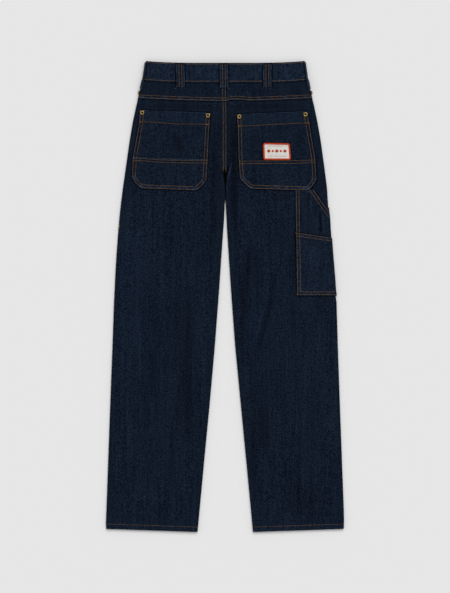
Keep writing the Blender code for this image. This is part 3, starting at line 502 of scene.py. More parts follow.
class Nodes:
    """Short calls that build one material's node tree."""

    def __init__(self, name: str) -> None:
        """Starts a material with its shader and output.

        Args:
            name: The material's name.
        """
        self.material = bpy.data.materials.new(name)
        self.material.use_nodes = True
        self.tree = self.material.node_tree
        self.tree.nodes.clear()
        self.shader = self.tree.nodes.new("ShaderNodeBsdfPrincipled")
        output = self.tree.nodes.new("ShaderNodeOutputMaterial")
        self.tree.links.new(self.shader.outputs[0], output.inputs[0])
        self.coordinates = self.node("TexCoord", {}, "Object")

    def fill(self, socket: Socket, value: object) -> None:
        """Links an output to an input, or sets a number or colour on it.

        Args:
            socket: The input.
            value: The output, number, colour or vector.
        """
        if isinstance(value, Socket):
            self.tree.links.new(value, socket)
        elif isinstance(value, tuple) and len(value) == 3 and socket.type == "RGBA":
            socket.default_value = (*value, 1.0)
        else:
            socket.default_value = value

    def node(self, kind: str, inputs: dict, output: int | str = 0, **settings: object) -> Socket:
        """Adds a node.

        Args:
            kind: Its type, without the common first part.
            inputs: What goes into its inputs, by name or number.
            output: The name or number of the output wanted.
            settings: The node's own settings.

        Returns:
            The output.
        """
        made = self.tree.nodes.new("ShaderNode" + kind)
        for key, value in settings.items():
            setattr(made, key, value)
        for key, value in inputs.items():
            self.fill(made.inputs[key], value)
        return made.outputs[output]

    def scaled(self, scale: Sequence[float], turn: float = 0.0) -> Socket:
        """Object coordinates multiplied by a scale on each axis, turned about Z first by an angle."""
        turned = self.node("Mapping", {"Vector": self.coordinates, "Rotation": (0.0, 0.0, turn)})
        return self.node("Mapping", {"Vector": turned, "Scale": scale})

    def noise(self, scale: float | Sequence[float], detail: float = 2.0) -> Socket:
        """Cloudy noise with a number of features to the metre, or one number for each axis."""
        each = scale if isinstance(scale, tuple) else (scale, scale, scale)
        return self.node("TexNoise", {"Scale": 1.0, "Detail": detail, "Vector": self.scaled(each)}, "Fac")

    def bands(self, period: float, turn: float) -> Socket:
        """Fine parallel ribs with a period in metres, turned by an angle in degrees."""
        vector = self.scaled((math.tau / 20.0 / period,) * 3, math.radians(turn))
        inputs = {"Scale": 1.0, "Distortion": 1.2, "Detail Scale": 1.5, "Vector": vector}
        return self.node("TexWave", inputs, "Fac", wave_type="BANDS", bands_direction="X")

    def math(self, operation: str, *values: object, clamp: bool = False) -> Socket:
        """A math node's result."""
        return self.node("Math", dict(enumerate(values)), operation=operation, use_clamp=clamp)

    def sum(self, *terms: tuple[Socket, float], start: float = 0.0) -> Socket:
        """Adds up sockets.

        Args:
            terms: Each socket with its weight.
            start: The sum where every socket is 0.5.

        Returns:
            The sum.
        """
        total: object = start - 0.5 * sum(weight for _, weight in terms)
        for socket, weight in terms:
            total = self.math("MULTIPLY_ADD", socket, weight, total)
        return total

    def blend(self, factor: object, low: object, high: object) -> Socket:
        """A colour between two, by a factor that is held between 0 and 1."""
        return self.node("Mix", {0: factor, 6: low, 7: high}, 2, data_type="RGBA", clamp_factor=True)

    def dimmed(self, colour: Socket, factor: object) -> Socket:
        """A colour multiplied by a number."""
        return self.node("VectorMath", {0: colour, "Scale": factor}, operation="SCALE")

    def painted(self, name: str) -> Socket:
        """A number that the mesh keeps at each of its points."""
        return self.node("Attribute", {}, "Fac", attribute_name=name)

    def relief(self, height: Socket, depth: float) -> None:
        """Bump on the shader: depth is in metres for a height from 0 to 1."""
        self.set(Normal=self.node("Bump", {"Distance": depth, "Strength": 1.0, "Height": height}))

    def set(self, **values: object) -> None:
        """Sets the shader's inputs, with spaces in their names written as underscores."""
        for key, value in values.items():
            self.fill(self.shader.inputs[key.replace("_", " ")], value)


@dataclass(frozen=True)
class Denim:
    """Raw indigo twill: dark, mottled by slubs along the grain, and paler where edges are rubbed."""

    name: str = "indigo_twill"
    deep: Colour = (0.0006, 0.0025, 0.0088)
    lit: Colour = (0.0110, 0.0191, 0.0348)
    worn: Colour = (0.050, 0.088, 0.160)
    reverse: Colour = (0.085, 0.115, 0.160)
    slub: tuple[float, float, float] = (800.0, 36.0, 300.0)
    streak: tuple[float, float, float] = (190.0, 8.0, 90.0)
    speck: float = 500.0
    grain: float = 1100.0
    shadow_reach: float = 3.4
    shadow: float = 0.92
    least_light: float = 0.04
    twill_period: float = 0.0011
    twill_turn: float = 30.0
    depth: float = 0.00042

    def build(self) -> Finish:
        """Makes the material.

        Returns:
            The material.
        """
        n = Nodes(self.name)
        slub, speck, grain = n.noise(self.slub, 3.0), n.noise(self.speck), n.noise(self.grain, 1.0)
        broad, cloud, streak = n.noise(9.0), n.noise(130.0), n.noise(self.streak)
        twill = n.bands(self.twill_period, self.twill_turn)
        tone = n.sum(
            (slub, 1.1), (speck, 4.9), (grain, 3.4), (streak, 1.0), (broad, 0.3), (twill, 0.2), start=0.42,
        )
        cloth = n.blend(tone, self.deep, self.lit)
        rub = n.sum((cloud, 2.6), (speck, 1.6), start=0.55)
        rubbed = n.blend(n.math("MULTIPLY", n.painted("wear"), rub, clamp=True), cloth, self.worn)
        shown = n.blend(n.painted("reverse"), rubbed, self.reverse)
        # Painted contact shadow within shadow_reach millimetres of a piece laid on top, with the painted
        # shade and painted light kept in shade.
        gap = n.math("MULTIPLY_ADD", n.painted("near"), -1.0 / self.shadow_reach, 1.0, clamp=True)
        dark = n.math("MULTIPLY_ADD", n.math("POWER", gap, 1.6), self.shadow, n.painted("shade"))
        left = n.math("MAXIMUM", n.math("SUBTRACT", 1.0, dark), self.least_light)
        n.set(Base_Color=n.dimmed(shown, left), Roughness=0.92, Specular_IOR_Level=0.04)
        pucker = n.math("MULTIPLY", n.painted("pucker"), n.noise(170.0, 1.0))
        woven = n.sum((twill, 0.3), (speck, 0.8), (slub, 0.5), start=0.5)
        height = n.math("MULTIPLY_ADD", pucker, 2.2, woven)
        n.relief(height, self.depth)
        return n.material


@dataclass(frozen=True)
class Thread:
    """Thick spun sewing thread with a soft shine, a little uneven in colour from stitch to stitch."""

    name: str
    light: Colour
    dark: Colour
    roughness: float = 0.55
    fuzz: float = 2600.0

    def build(self) -> Finish:
        """Makes the material.

        Returns:
            The material.
        """
        n = Nodes(self.name)
        n.set(Base_Color=n.blend(n.painted("tint"), self.dark, self.light), Roughness=self.roughness)
        n.set(Specular_IOR_Level=0.12)
        n.relief(n.noise(self.fuzz, 1.0), 0.0002)
        return n.material


@dataclass(frozen=True)
class PatchGround:
    """Off-white woven ground of the patch, with a fine plain weave and faint marks of handling."""

    name: str = "patch_weave"
    ground: Colour = (0.72, 0.70, 0.66)
    shade: Colour = (0.56, 0.53, 0.49)
    pitch: float = 0.0009

    def build(self) -> Finish:
        """Makes the material.

        Returns:
            The material.
        """
        n = Nodes(self.name)
        weave = n.math("MAXIMUM", n.bands(self.pitch, 0.0), n.bands(self.pitch, 90.0))
        marks = n.sum((n.noise(120.0, 3.0), 1.4), (weave, 0.5), (n.noise(900.0, 1.0), 0.6), start=0.6)
        n.set(Base_Color=n.blend(marks, self.shade, self.ground), Roughness=0.85, Specular_IOR_Level=0.25)
        n.relief(weave, 0.00018)
        return n.material


@dataclass(frozen=True)
class Brass:
    """Aged brass: satin, with dull brown tarnish in clouds and fine scratches."""

    name: str
    bright: Colour = (0.56, 0.40, 0.16)
    tarnish: Colour = (0.15, 0.095, 0.040)
    amount: float = 0.42
    roughness: float = 0.32
    scratches: tuple[float, float, float] = (5200.0, 900.0, 2000.0)

    def build(self) -> Finish:
        """Makes the material.

        Returns:
            The material.
        """
        n = Nodes(self.name)
        cloud = n.noise(420.0, 4.0)
        dull = n.sum((cloud, 2.6), start=self.amount)
        n.set(Base_Color=n.blend(dull, self.bright, self.tarnish), Metallic=1.0)
        n.set(Roughness=n.sum((cloud, 0.5), start=self.roughness))
        n.relief(n.noise(self.scratches), 0.00006)
        return n.material


@dataclass(frozen=True)
class ZipTape:
    """Dark woven tape with fine ribs across it."""

    name: str = "zip_tape"
    colour: Colour = (0.012, 0.013, 0.018)
    lighter: Colour = (0.0264, 0.0286, 0.0396)
    pitch: float = 0.0008

    def build(self) -> Finish:
        """Makes the material.

        Returns:
            The material.
        """
        n = Nodes(self.name)
        ribs = n.bands(self.pitch, 90.0)
        n.set(Base_Color=n.blend(ribs, self.colour, self.lighter), Roughness=0.85, Specular_IOR_Level=0.2)
        n.relief(ribs, 0.00015)
        return n.material


class Wardrobe:
    """Every finish, made once."""

    def __init__(self) -> None:
        """Makes the materials."""
        self.denim = Denim().build()
        self.thread = Thread("copper_thread", (0.30, 0.152, 0.024), (0.10, 0.055, 0.013)).build()
        self.fray = Thread("frayed_yarn", (0.16, 0.20, 0.27), (0.03, 0.045, 0.075), 0.8).build()
        self.red = Thread("red_thread", (0.62, 0.072, 0.018), (0.36, 0.032, 0.010), 0.6).build()
        self.ground = PatchGround().build()
        self.brass = Brass("aged_brass").build()
        # Brass made nearly black for the sunk middles of the rivets and the button: painted shade of the
        # hollows.
        self.recess = Brass("dark_recess", (0.05, 0.035, 0.02), (0.01, 0.008, 0.006), 0.7, 0.6).build()
        self.teeth = Brass("zip_teeth", (0.62, 0.46, 0.20), (0.25, 0.17, 0.08), 0.3, 0.38).build()
        self.tape = ZipTape().build()


class Slot(Enum):
    """The record's material slots."""

    DENIM = "denim"
    PATCH = "patch_cloth"
    BRASS = "aged_brass"
    ZIP = "zip"


def make_object(
    name: str, points: Array, faces: Sequence[Sequence[int]], finishes: Sequence[Finish], slot: Slot,
    marks: dict[str, Array] | None = None, finish_of: Sequence[int] = (), sharp: float = 50.0,
) -> Piece:
    """A mesh object that rides on the garment's one body.

    Args:
        name: The piece's name.
        points: Points in metres, one row each.
        faces: Faces as lists of point numbers.
        finishes: Its materials.
        slot: The record's slot for its finish; not used.
        marks: Named numbers to keep at each point.
        finish_of: The number of each face's material.
        sharp: Edges bent by more than this many degrees are shaded sharp.

    Returns:
        The object.
    """
    mesh = bpy.data.meshes.new(name)
    mesh.from_pydata(np.asarray(points, float).tolist(), [], [list(map(int, face)) for face in faces])
    for finish in finishes:
        mesh.materials.append(finish)
    if len(finish_of) > 0:
        mesh.polygons.foreach_set("material_index", np.asarray(finish_of, int))
    for key, values in (marks or {}).items():
        attribute = mesh.attributes.new(key, "FLOAT", "POINT")
        attribute.data.foreach_set("value", np.asarray(values, float).ravel())
    mesh.update()
    mesh.shade_smooth()
    mesh.set_sharp_from_angle(angle=math.radians(sharp))
    made = placed(name, mesh)
    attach(made, "root")
    log.info("%s: %d faces", name, len(mesh.polygons))
    return made


def placed(name: str, data: bpy.types.ID) -> Piece:
    """An object that shows a mesh, lamp or camera, linked to the scene."""
    made = bpy.data.objects.new(name, data)
    bpy.context.scene.collection.objects.link(made)
    return made


def signed_volume(points: Array, quads: Array) -> float:
    """The volume inside a closed mesh of quads.

    Args:
        points: Its points.
        quads: Its faces' point numbers.

    Returns:
        The volume, negative where the faces look inward.
    """
    a, b, c, d = (points[quads[:, k]] for k in range(4))
    first = np.einsum("ij,ij->i", a, np.cross(b, c)).sum()
    return float(first + np.einsum("ij,ij->i", a, np.cross(c, d)).sum()) / 6.0


@dataclass
class Cloth:
    """Rows and columns of points on a piece's outer face, with the way out of the cloth at each."""

    x: Array
    drop: Array
    z: Array
    nx: Array
    nz: Array
    wear: Number = 0.0
    pucker: Number = 0.0
    # near: how far a place lies outside the edge of a piece laid on it, for painted contact shadow. shade:
    # painted shade, and painted light where negative.
    near: Number = FAR
    shade: Number = 0.0

    @classmethod
    def level(cls, x: Array, drop: Array, z: Array, up: float = 1.0) -> "Cloth":
        """A piece whose outer face looks straight up or straight down."""
        return cls(x, drop, z, np.zeros_like(x), np.full_like(x, up))

    def raised(self, out: Number) -> "Cloth":
        """The piece with its face moved out of the cloth by a distance."""
        self.x, self.z = self.x + self.nx * out, self.z + self.nz * out
        return self

    def moved(self, distance: Number) -> Array:
        """The points at a distance outside the face, in metres in the frame."""
        return world(self.x + self.nx * distance, self.drop, self.z + self.nz * distance)

    def cut(self) -> tuple[Point, float]:
        """The size that the piece was cut to, from its face rolled out flat.

        Returns:
            Its width and length, and its area, in metres.
        """
        p = self.moved(0.0)
        across = np.linalg.norm(np.diff(p, axis=1), axis=2).sum(axis=1).max()
        down = np.linalg.norm(np.diff(p, axis=0), axis=2).sum(axis=0).max()
        cross = np.cross(p[1:, :-1] - p[:-1, :-1], p[:-1, 1:] - p[:-1, :-1])
        area = np.linalg.norm(cross, axis=2).sum()
        return (round(float(across), 3), round(float(down), 3)), float(area)

    def sew(self, name: str, finish: Finish, wall: Number = PLY) -> Piece:
        """Makes the piece as a closed thin shell.

        Args:
            name: The piece's name.
            finish: Its material.
            wall: The cloth's thickness in millimetres.

        Returns:
            The object.
        """
        rows, columns = self.x.shape
        count = rows * columns
        index = np.arange(count).reshape(rows, columns)
        cells = [index[:-1, :-1], index[1:, :-1], index[1:, 1:], index[:-1, 1:]]
        faces = np.stack(cells, axis=-1).reshape(-1, 4)
        ring = np.concatenate([index[:-1, 0], index[-1, :-1], index[:0:-1, -1], index[0, :0:-1]])
        after = np.roll(ring, -1)
        rim = np.stack([after, ring, ring + count, after + count], axis=-1)
        quads = np.concatenate([faces, faces[:, ::-1] + count, rim])
        points = np.concatenate([self.moved(0.0).reshape(-1, 3), self.moved(-wall).reshape(-1, 3)])
        if signed_volume(points, quads) < 0.0:
            quads = quads[:, ::-1]
        marks = {"reverse": np.repeat([0.0, 1.0], count)}
        for key, inside in {"wear": 0.0, "pucker": 0.0, "near": FAR, "shade": 0.0}.items():
            shown = np.broadcast_to(getattr(self, key), self.x.shape).ravel()
            marks[key] = np.concatenate([shown, np.full(count, inside)])
        return make_object(name, points, quads, [finish], Slot.DENIM, marks)


Made = dict[str, tuple[Piece, Cloth]]


def tailored(node: str, name: str, cloth: Cloth, finish: Finish, wall: float = PLY) -> Made:
    """Sews a piece in place of its solid.

    Args:
        node: The solid's node.
        name: The piece's name.
        cloth: Its grid.
        finish: Its material.
        wall: The cloth's thickness.

    Returns:
        The node with the object and its grid.
    """
    piece = cloth.sew(name, finish, wall)
    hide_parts(node)
    return {node: (piece, cloth)}


def declare(piece: Piece, cloth: Cloth, on_it: Sequence[object] = ()) -> None:
    """Logs the size and area that a piece of cloth was cut to.

    Args:
        piece: The object.
        cloth: Its grid.
        on_it: The objects that it carries; not used.
    """
    flat, area = cloth.cut()
    area = min(area, 0.99 * flat[0] * flat[1])
    list(on_it)
    log.info("%s: cut %.3f x %.3f m, %.4f square metres", piece.name, *flat, area)


def edge_marks(to_edge: Array, pale: float, dark: float = 0.6) -> tuple[Array, Array]:
    """The look of a turned edge: painted shade at the very edge, then rubbed pale.

    Args:
        to_edge: Distances from the edge in millimetres.
        pale: How pale it is rubbed.
        dark: How dark the painted shade at the very edge is.

    Returns:
        Values for a cloth's wear and painted shade.
    """
    return pale * smooth(0.2, 1.0, to_edge) * fade(1.1, 2.3, to_edge), dark * fade(0.3, 1.3, to_edge)


def between_rows(distance: Array, rows: Point) -> Array:
    """1 between two rows of stitches that run at distances from an edge, and 0 beyond them."""
    return smooth(rows[0], rows[0] + 1.4, distance) * fade(rows[1] - 1.4, rows[1], distance)


def ripples(rope: Array, middle: Array) -> Array:
    """The crests of a roped edge that stand up between its rows of stitches."""
    return np.maximum(0.0, rope) ** 3 * middle


def section_grid(
    side: int, drop_of: Field, levels: Array, columns: int, height: Field, up: int, bend: Along = still,
    lap: Along = still, reach: Along = still,
) -> Cloth:
    """Rows of points across half a layer, from its outer fold to its inner edge.

    Args:
        side: -1 for the left half and 1 for the right half.
        drop_of: The drop of a row at x, from (x, level).
        levels: The rows' levels.
        columns: The number of columns between the folds.
        height: The layer's height, from (x, drop).
        up: 1 for the upper layer and -1 for the lower one.
        bend: How far the inner edge is a fold, from 0 to 1, at a drop.
        lap: How far the inner edge reaches over the middle line, at a drop.
        reach: How much further out the outer fold lies, at a drop.

    Returns:
        The grid.
    """
    levels = levels.reshape(-1, 1)
    edge, inner = np.full_like(levels, side * 200.0), np.full_like(levels, side * 10.0)
    for _ in range(4):
        outer_drop, inner_drop = drop_of(edge, levels), drop_of(inner, levels)
        edge = JEANS.side_x(side, outer_drop) + side * reach(outer_drop)
        inner = JEANS.inner_x(side, inner_drop) + lap(inner_drop)
    start, stop = edge - side * FOLD_RADIUS, inner + side * FOLD_RADIUS
    turn, back = FOLD_STEPS[None, :], FOLD_STEPS[None, ::-1]
    seam_in = up * 0.5 * SEAM_GAP

    x_out = edge - side * FOLD_RADIUS * (1.0 - np.cos(turn))
    seam = JEANS.seam_height(side, outer_drop) + seam_in
    z_out, nx_out, nz_out = folded(height(start, outer_drop), seam, turn, side, up)

    wide_steps, close_steps = np.linspace(0.0, 0.925, columns - 10)[1:], np.linspace(0.925, 1.0, 11)[1:-1]
    x_mid = mix(start, stop, np.concatenate([wide_steps, close_steps])[None, :])
    d_mid = drop_of(x_mid, levels)

    x_in = inner + side * FOLD_RADIUS * (1.0 - np.cos(back))
    d_in = drop_of(x_in, levels)
    bent = bend(inner_drop)
    seam = 0.5 * JEANS.stack.read("fold", inner_drop) + seam_in
    curved, nx_in, nz_in = folded(height(stop, drop_of(stop, levels)), seam, back, side, up)
    nx_in, nz_in = -bent * nx_in, mix(float(up), nz_in, bent)
    size = np.hypot(nx_in, nz_in)

    def joined(out: Array, middle: Number, inside: Array) -> Array:
        """Three runs of columns side by side."""
        parts = zip((out, middle, inside), (x_out, x_mid, x_in))
        return np.concatenate([np.broadcast_to(values, like.shape) for values, like in parts], axis=1)

    return Cloth(
        x=joined(x_out, x_mid, x_in), drop=joined(outer_drop, d_mid, d_in),
        z=joined(z_out, height(x_mid, d_mid), mix(height(x_in, d_in), curved, bent)),
        nx=joined(nx_out, 0.0, nx_in / size), nz=joined(nz_out, float(up), nz_in / size),
    )


def rounded_steps(step: float, close: Sequence[float]) -> Array:
    """Shares from 0 to 1 by a step, with a few extra ones close to both ends."""
    return np.unique(np.round(np.concatenate([spaced(0.0, 1.0, step), close, 1.0 - np.array(close)]), 6))


@dataclass
class Sewing:
    """Rows of stitches, kept as pairs of ends with the way out of the cloth, and made as one mesh."""

    name: str
    thread: Finish
    radius: float = 0.42
    pitch: float = 3.4
    stitch: float = 2.6
    step: float = 0.8
    tack_pitch: float = 0.62
    sides: int = 6
    starts: list[Array] = field(default_factory=list)
    ends: list[Array] = field(default_factory=list)
    outs: list[Array] = field(default_factory=list)

    def put(self, starts: Array, ends: Array, outs: Array) -> None:
        """Keeps stitches by their two ends and their way out, one row each."""
        for kept, new in ((self.starts, starts), (self.ends, ends), (self.outs, outs)):
            kept.append(np.asarray(new, float))

    def run(self, surface: Surface, path: Sequence[Point], pitch: float | None = None) -> None:
        """Adds a row of stitches along a line on a surface.

        Args:
            surface: From (x, drop) to points and directions out of the cloth.
            path: The line's (x, drop) points.
            pitch: The distance from stitch to stitch, if it isn't the usual one.
        """
        places = []
        for a, b in zip(path, path[1:]):
            share = np.linspace(0.0, 1.0, max(2, int(math.dist(a, b) / self.step)), endpoint=False)
            places.append(mix(np.array([a], float), np.array([b], float), share[:, None]))
        x, drop = np.concatenate([*places, np.array([path[-1]], float)]).T
        self.lay(*surface(x, drop), pitch)

    def lay(self, points: Array, outs: Array, pitch: float | None = None) -> None:
        """Adds a row of stitches along close points.

        Args:
            points: The points in (x, drop, z).
            outs: The way out of the cloth at each.
            pitch: The distance from stitch to stitch, if it isn't the usual one.
        """
        pitch = pitch or self.pitch
        run = np.concatenate([[0.0], np.cumsum(np.linalg.norm(np.diff(points, axis=0), axis=1))])
        count = max(1, int(round(run[-1] / pitch)))
        middles = (np.arange(count) + 0.5) * run[-1] / count
        half = 0.5 * min(self.stitch * pitch / self.pitch, 0.86 * run[-1] / count)

        def at(where: Array, values: Array) -> Array:
            """Values at distances along the row."""
            return np.stack([np.interp(where, run, values[:, k]) for k in range(3)], axis=-1)

        self.put(at(middles - half, points), at(middles + half, points), at(middles, outs))

    def tack(self, surface: Surface, a: Point, b: Point, width: float = 2.2) -> None:
        """Adds a bar tack: close stitches across a short line.

        Args:
            surface: From (x, drop) to points and directions out of the cloth.
            a, b: The line's ends.
            width: The stitches' length.
        """
        length = math.dist(a, b)
        ux, uy = (b[0] - a[0]) / length, (b[1] - a[1]) / length
        for share in np.arange(0.0, 1.001, self.tack_pitch / length):
            cx, cy = mix(a[0], b[0], share), mix(a[1], b[1], share)
            self.bar(surface, np.array([cx, cy]), np.array([uy, -ux]) * width / 2)

    def bar(self, surface: Surface, middle: Array, half: Array) -> None:
        """Adds one stitch from its middle and half of its length in (x, drop)."""
        points, outs = surface(*np.stack([middle - half, middle + half]).T)
        self.put(points[:1], points[1:], outs[:1])

    def make(self, slot: Slot = Slot.DENIM, seed: int = 3) -> Piece:
        """Makes all the stitches as one mesh of short arched rods.

        Args:
            slot: The record's slot.
            seed: Starts the colours' small differences.

        Returns:
            The object.
        """
        a, b, out = (np.concatenate(part) for part in (self.starts, self.ends, self.outs))
        a, b = a * (1.0, -1.0, 1.0), b * (1.0, -1.0, 1.0)
        out = out / np.linalg.norm(out, axis=1, keepdims=True)
        along = b - a
        along = along / np.maximum(np.linalg.norm(along, axis=1, keepdims=True), 1e-6)
        across = np.cross(along, out)
        across /= np.maximum(np.linalg.norm(across, axis=1, keepdims=True), 1e-6)
        stations = (
            (0.0, 0.0, -0.30), (0.10, 0.78, -0.05), (0.5, 1.0, 0.42),
            (0.90, 0.78, -0.05), (1.0, 0.0, -0.30),
        )
        parts, sides = [], self.sides
        for share, thick, rise in stations:
            centre = mix(a, b, share) + out * rise * self.radius
            angles = [math.tau * step / sides for step in range(sides if thick > 0.0 else 1)]
            offsets = [across * math.cos(angle) + out * math.sin(angle) for angle in angles]
            parts += [(centre + offset * self.radius * thick)[:, None, :] for offset in offsets]
        points = np.concatenate(parts, axis=1)
        each, faces = points.shape[1], []
        for step in range(sides):
            after = (step + 1) % sides
            faces.append([0, 1 + after, 1 + step])
            for low in (1, 1 + sides):
                faces.append([low + step, low + after, low + sides + after, low + sides + step])
            faces.append([1 + 2 * sides + step, 1 + 2 * sides + after, each - 1])
        base = (np.arange(len(a)) * each).tolist()
        all_faces = [[start + corner for corner in face] for start in base for face in faces]
        x, y, z = points.reshape(-1, 3).T
        tint = np.repeat(np.random.default_rng(seed).uniform(0.15, 1.0, len(a)), each)
        points = world(x, -y, z)
        return make_object(self.name, points, all_faces, [self.thread], slot, {"tint": tint}, sharp=80.0)


@dataclass
class Panels:
    """The four large panels: back and front, left and right."""

    columns: int = 68
    row_step: float = 4.6
    hem_step: float = 1.3
    hem_margin: float = 4.0
    fell_width: float = 7.0
    front_top: float = 73.0
    front_level: float = 119.0
    front_run: float = 110.0
    edge_run: float = 60.0
    mouth_start: float = 92.0
    mouth_end: float = 190.0
    mouth_depth: float = 62.0
    mouth_roundness: float = 2.2
    seam_end: Point = (247.0, 266.0)
    rope: Point = (8.7, 1.7)

    def seam_share(self, drop: Number) -> Number:
        """1 down the seat's middle seam, easing to 0 where it goes in between the legs."""
        return fade(*self.seam_end, drop)

    def felled_height(self, x: Number, drop: Number) -> Number:
        """The left back panel's height: its middle edge is lapped over the right one and raised."""
        ridge = smooth(MIDDLE_LINE - self.fell_width - 1.6, MIDDLE_LINE - self.fell_width + 0.8, x)
        return JEANS.back_height(x, drop) + FELL_RISE * ridge * self.seam_share(drop)

    def bent(self, x: Array, level: Array, top: Array, start: float, run: float) -> Array:
        """The drop at x of a panel's row, bent to follow its top edge and the hem.

        Args:
            x, level: The places and the row's level.
            top: How far the top edge lies below its level.
            start, run: The level down to which the row follows the top edge, and its way back to level.

        Returns:
            The drops.
        """
        near_top, near_hem = 1.0 - (level - start) / run, 1.0 - (LENGTH - level) / self.edge_run
        hem = (JEANS.hem_edge(x) - LENGTH) * np.clip(near_hem, 0.0, 1.0)
        return level + top * np.clip(near_top, 0.0, 1.0) + hem

    def back_drop(self, x: Array, level: Array) -> Array:
        """The drop at x of a row of a back panel."""
        start = JEANS.yoke_middle
        return self.bent(x, level, JEANS.yoke_edge(x) - start, start, self.edge_run)

    def front_edge(self, x: Number) -> Number:
        """The drop of a front panel's top edge: along the band, then down the scooped pocket mouth."""
        share = np.clip((np.abs(x) - self.mouth_start) / (self.mouth_end - self.mouth_start), 0.0, 1.0)
        scoop = self.mouth_depth * (1.0 - (1.0 - share) ** self.mouth_roundness)
        return JEANS.front_waist(x) + BAND_HEIGHT + SEAM_GAP + scoop

    def front_drop(self, x: Array, level: Array) -> Array:
        """The drop at x of a row of a front panel."""
        return self.bent(x, level, self.front_edge(x) - self.front_top, self.front_level, self.front_run)

    def front_reach(self, drop: Number) -> Number:
        """How much further out the front lies at the side beside the yoke."""
        return YOKE_LIFT * fade(JEANS.yoke_side - 4.0, JEANS.yoke_side + 10.0, drop)

    def levels(self, top: float) -> Array:
        """The rows' levels from a panel's top to its hem, close together in the hem."""
        fold = LENGTH - HEM_DEPTH - self.hem_margin
        hem = spaced(fold, LENGTH - 0.6, self.hem_step)[1:]
        return np.concatenate([spaced(top, fold, self.row_step), hem, [LENGTH - 0.3, LENGTH]])

    def finished_hem(self, cloth: Cloth) -> None:
        """Marks the hem: roped by its stitching, rubbed along its edge, and rounded at the edge.

        Args:
            cloth: The panel's grid, which is changed.
        """
        x, above, up = cloth.x, JEANS.hem_edge(cloth.x) - cloth.drop, np.sign(cloth.nz)
        inside = smooth(-1.0, 1.5, above) * fade(HEM_DEPTH - 2.0, HEM_DEPTH + 5.0, above)
        rope = roping(x + 0.9 * above, *self.rope, x / 23.0) * (0.6 + 0.4 * np.sin(x / 17.0 + 1.0))
        wear, dark = edge_marks(above, 0.30, 0.75)
        rounding = 0.5 * fade(0.0, 1.2, above)
        cloth.z = cloth.z + up * (0.3 * (rope + 1.0) * inside * np.abs(cloth.nz) - rounding)
        cloth.wear = wear + (0.02 + 0.15 * np.maximum(0.0, rope)) * inside
        # Painted shade at the hem's very edge, in the ropes' troughs and where the cloth turns down round
        # the folds.
        cloth.shade = dark + 0.25 * np.maximum(0.0, -rope) * inside + 1.2 * (1.0 - np.abs(cloth.nz))
        cloth.pucker = inside + fade(6.0, 16.0, np.abs(above - HEM_DEPTH))

    def back(self, side: int) -> Cloth:
        """The grid of a back panel.

        Args:
            side: -1 for the left one and 1 for the right one.

        Returns:
            The grid.
        """
        left = side < 0
        cloth = section_grid(
            side, self.back_drop, self.levels(JEANS.yoke_middle - YOKE_LAP), self.columns,
            self.felled_height if left else JEANS.back_height, 1, JEANS.crotch_share,
            (lambda drop: FELL_REACH * self.seam_share(drop)) if left else still,
        )
        self.finished_hem(cloth)
        x, drop = cloth.x, cloth.drop
        from_seam = np.abs(x - MIDDLE_LINE + 0.5 * self.fell_width)
        near = fade(3.0, 8.0, from_seam) * self.seam_share(drop) * smooth(90.0, 96.0, drop)
        cloth.wear = cloth.wear + 0.12 * near * (x > MIDDLE_LINE - self.fell_width) * left
        cloth.pucker = cloth.pucker + near
        # Painted shading of creases and the seat, and painted contact shadow beside the yoke, the pockets
        # and the felled seam that lie over the panel.
        cloth.shade = cloth.shade + creased(JEANS.painted_shading, x, drop)
        gaps = [drop - YOKES.edge(x), outside(POCKETS.shapes[0 if left else 1].outline(), x, drop)]
        if not left:
            gaps.append(np.where(drop < 262.0, x - MIDDLE_LINE - FELL_REACH, FAR))
            gaps.append(outside(TOOLS.outline(), x, drop))
        cloth.near = np.minimum.reduce(gaps)
        return cloth

    def front(self, side: int) -> Cloth:
        """The grid of a front panel.

        Args:
            side: -1 for the left one and 1 for the right one.

        Returns:
            The grid.
        """
        cloth = section_grid(
            side, self.front_drop, self.levels(self.front_top), self.columns, JEANS.front_height, -1,
            JEANS.crotch_share, reach=self.front_reach,
        )
        self.finished_hem(cloth)
        # Rubbed pale and painted shade along the pocket mouths' edges.
        wear, dark = edge_marks(cloth.drop - self.front_edge(cloth.x), 0.4)
        cloth.wear = cloth.wear + wear * (np.abs(cloth.x) > self.mouth_start)
        cloth.shade = cloth.shade + dark
        return cloth

    def build(self, finishes: Wardrobe) -> Made:
        """Makes the four panels.

        Args:
            finishes: The materials.

        Returns:
            The pieces and grids by node.
        """
        made: Made = {}
        for word, side in SIDES:
            for layer, grid in (("back", self.back(side)), ("front", self.front(side))):
                made |= tailored(f"{layer}_{word}", f"{layer}_panel_{word}", grid, finishes.denim)
        return made


PANELS = Panels()


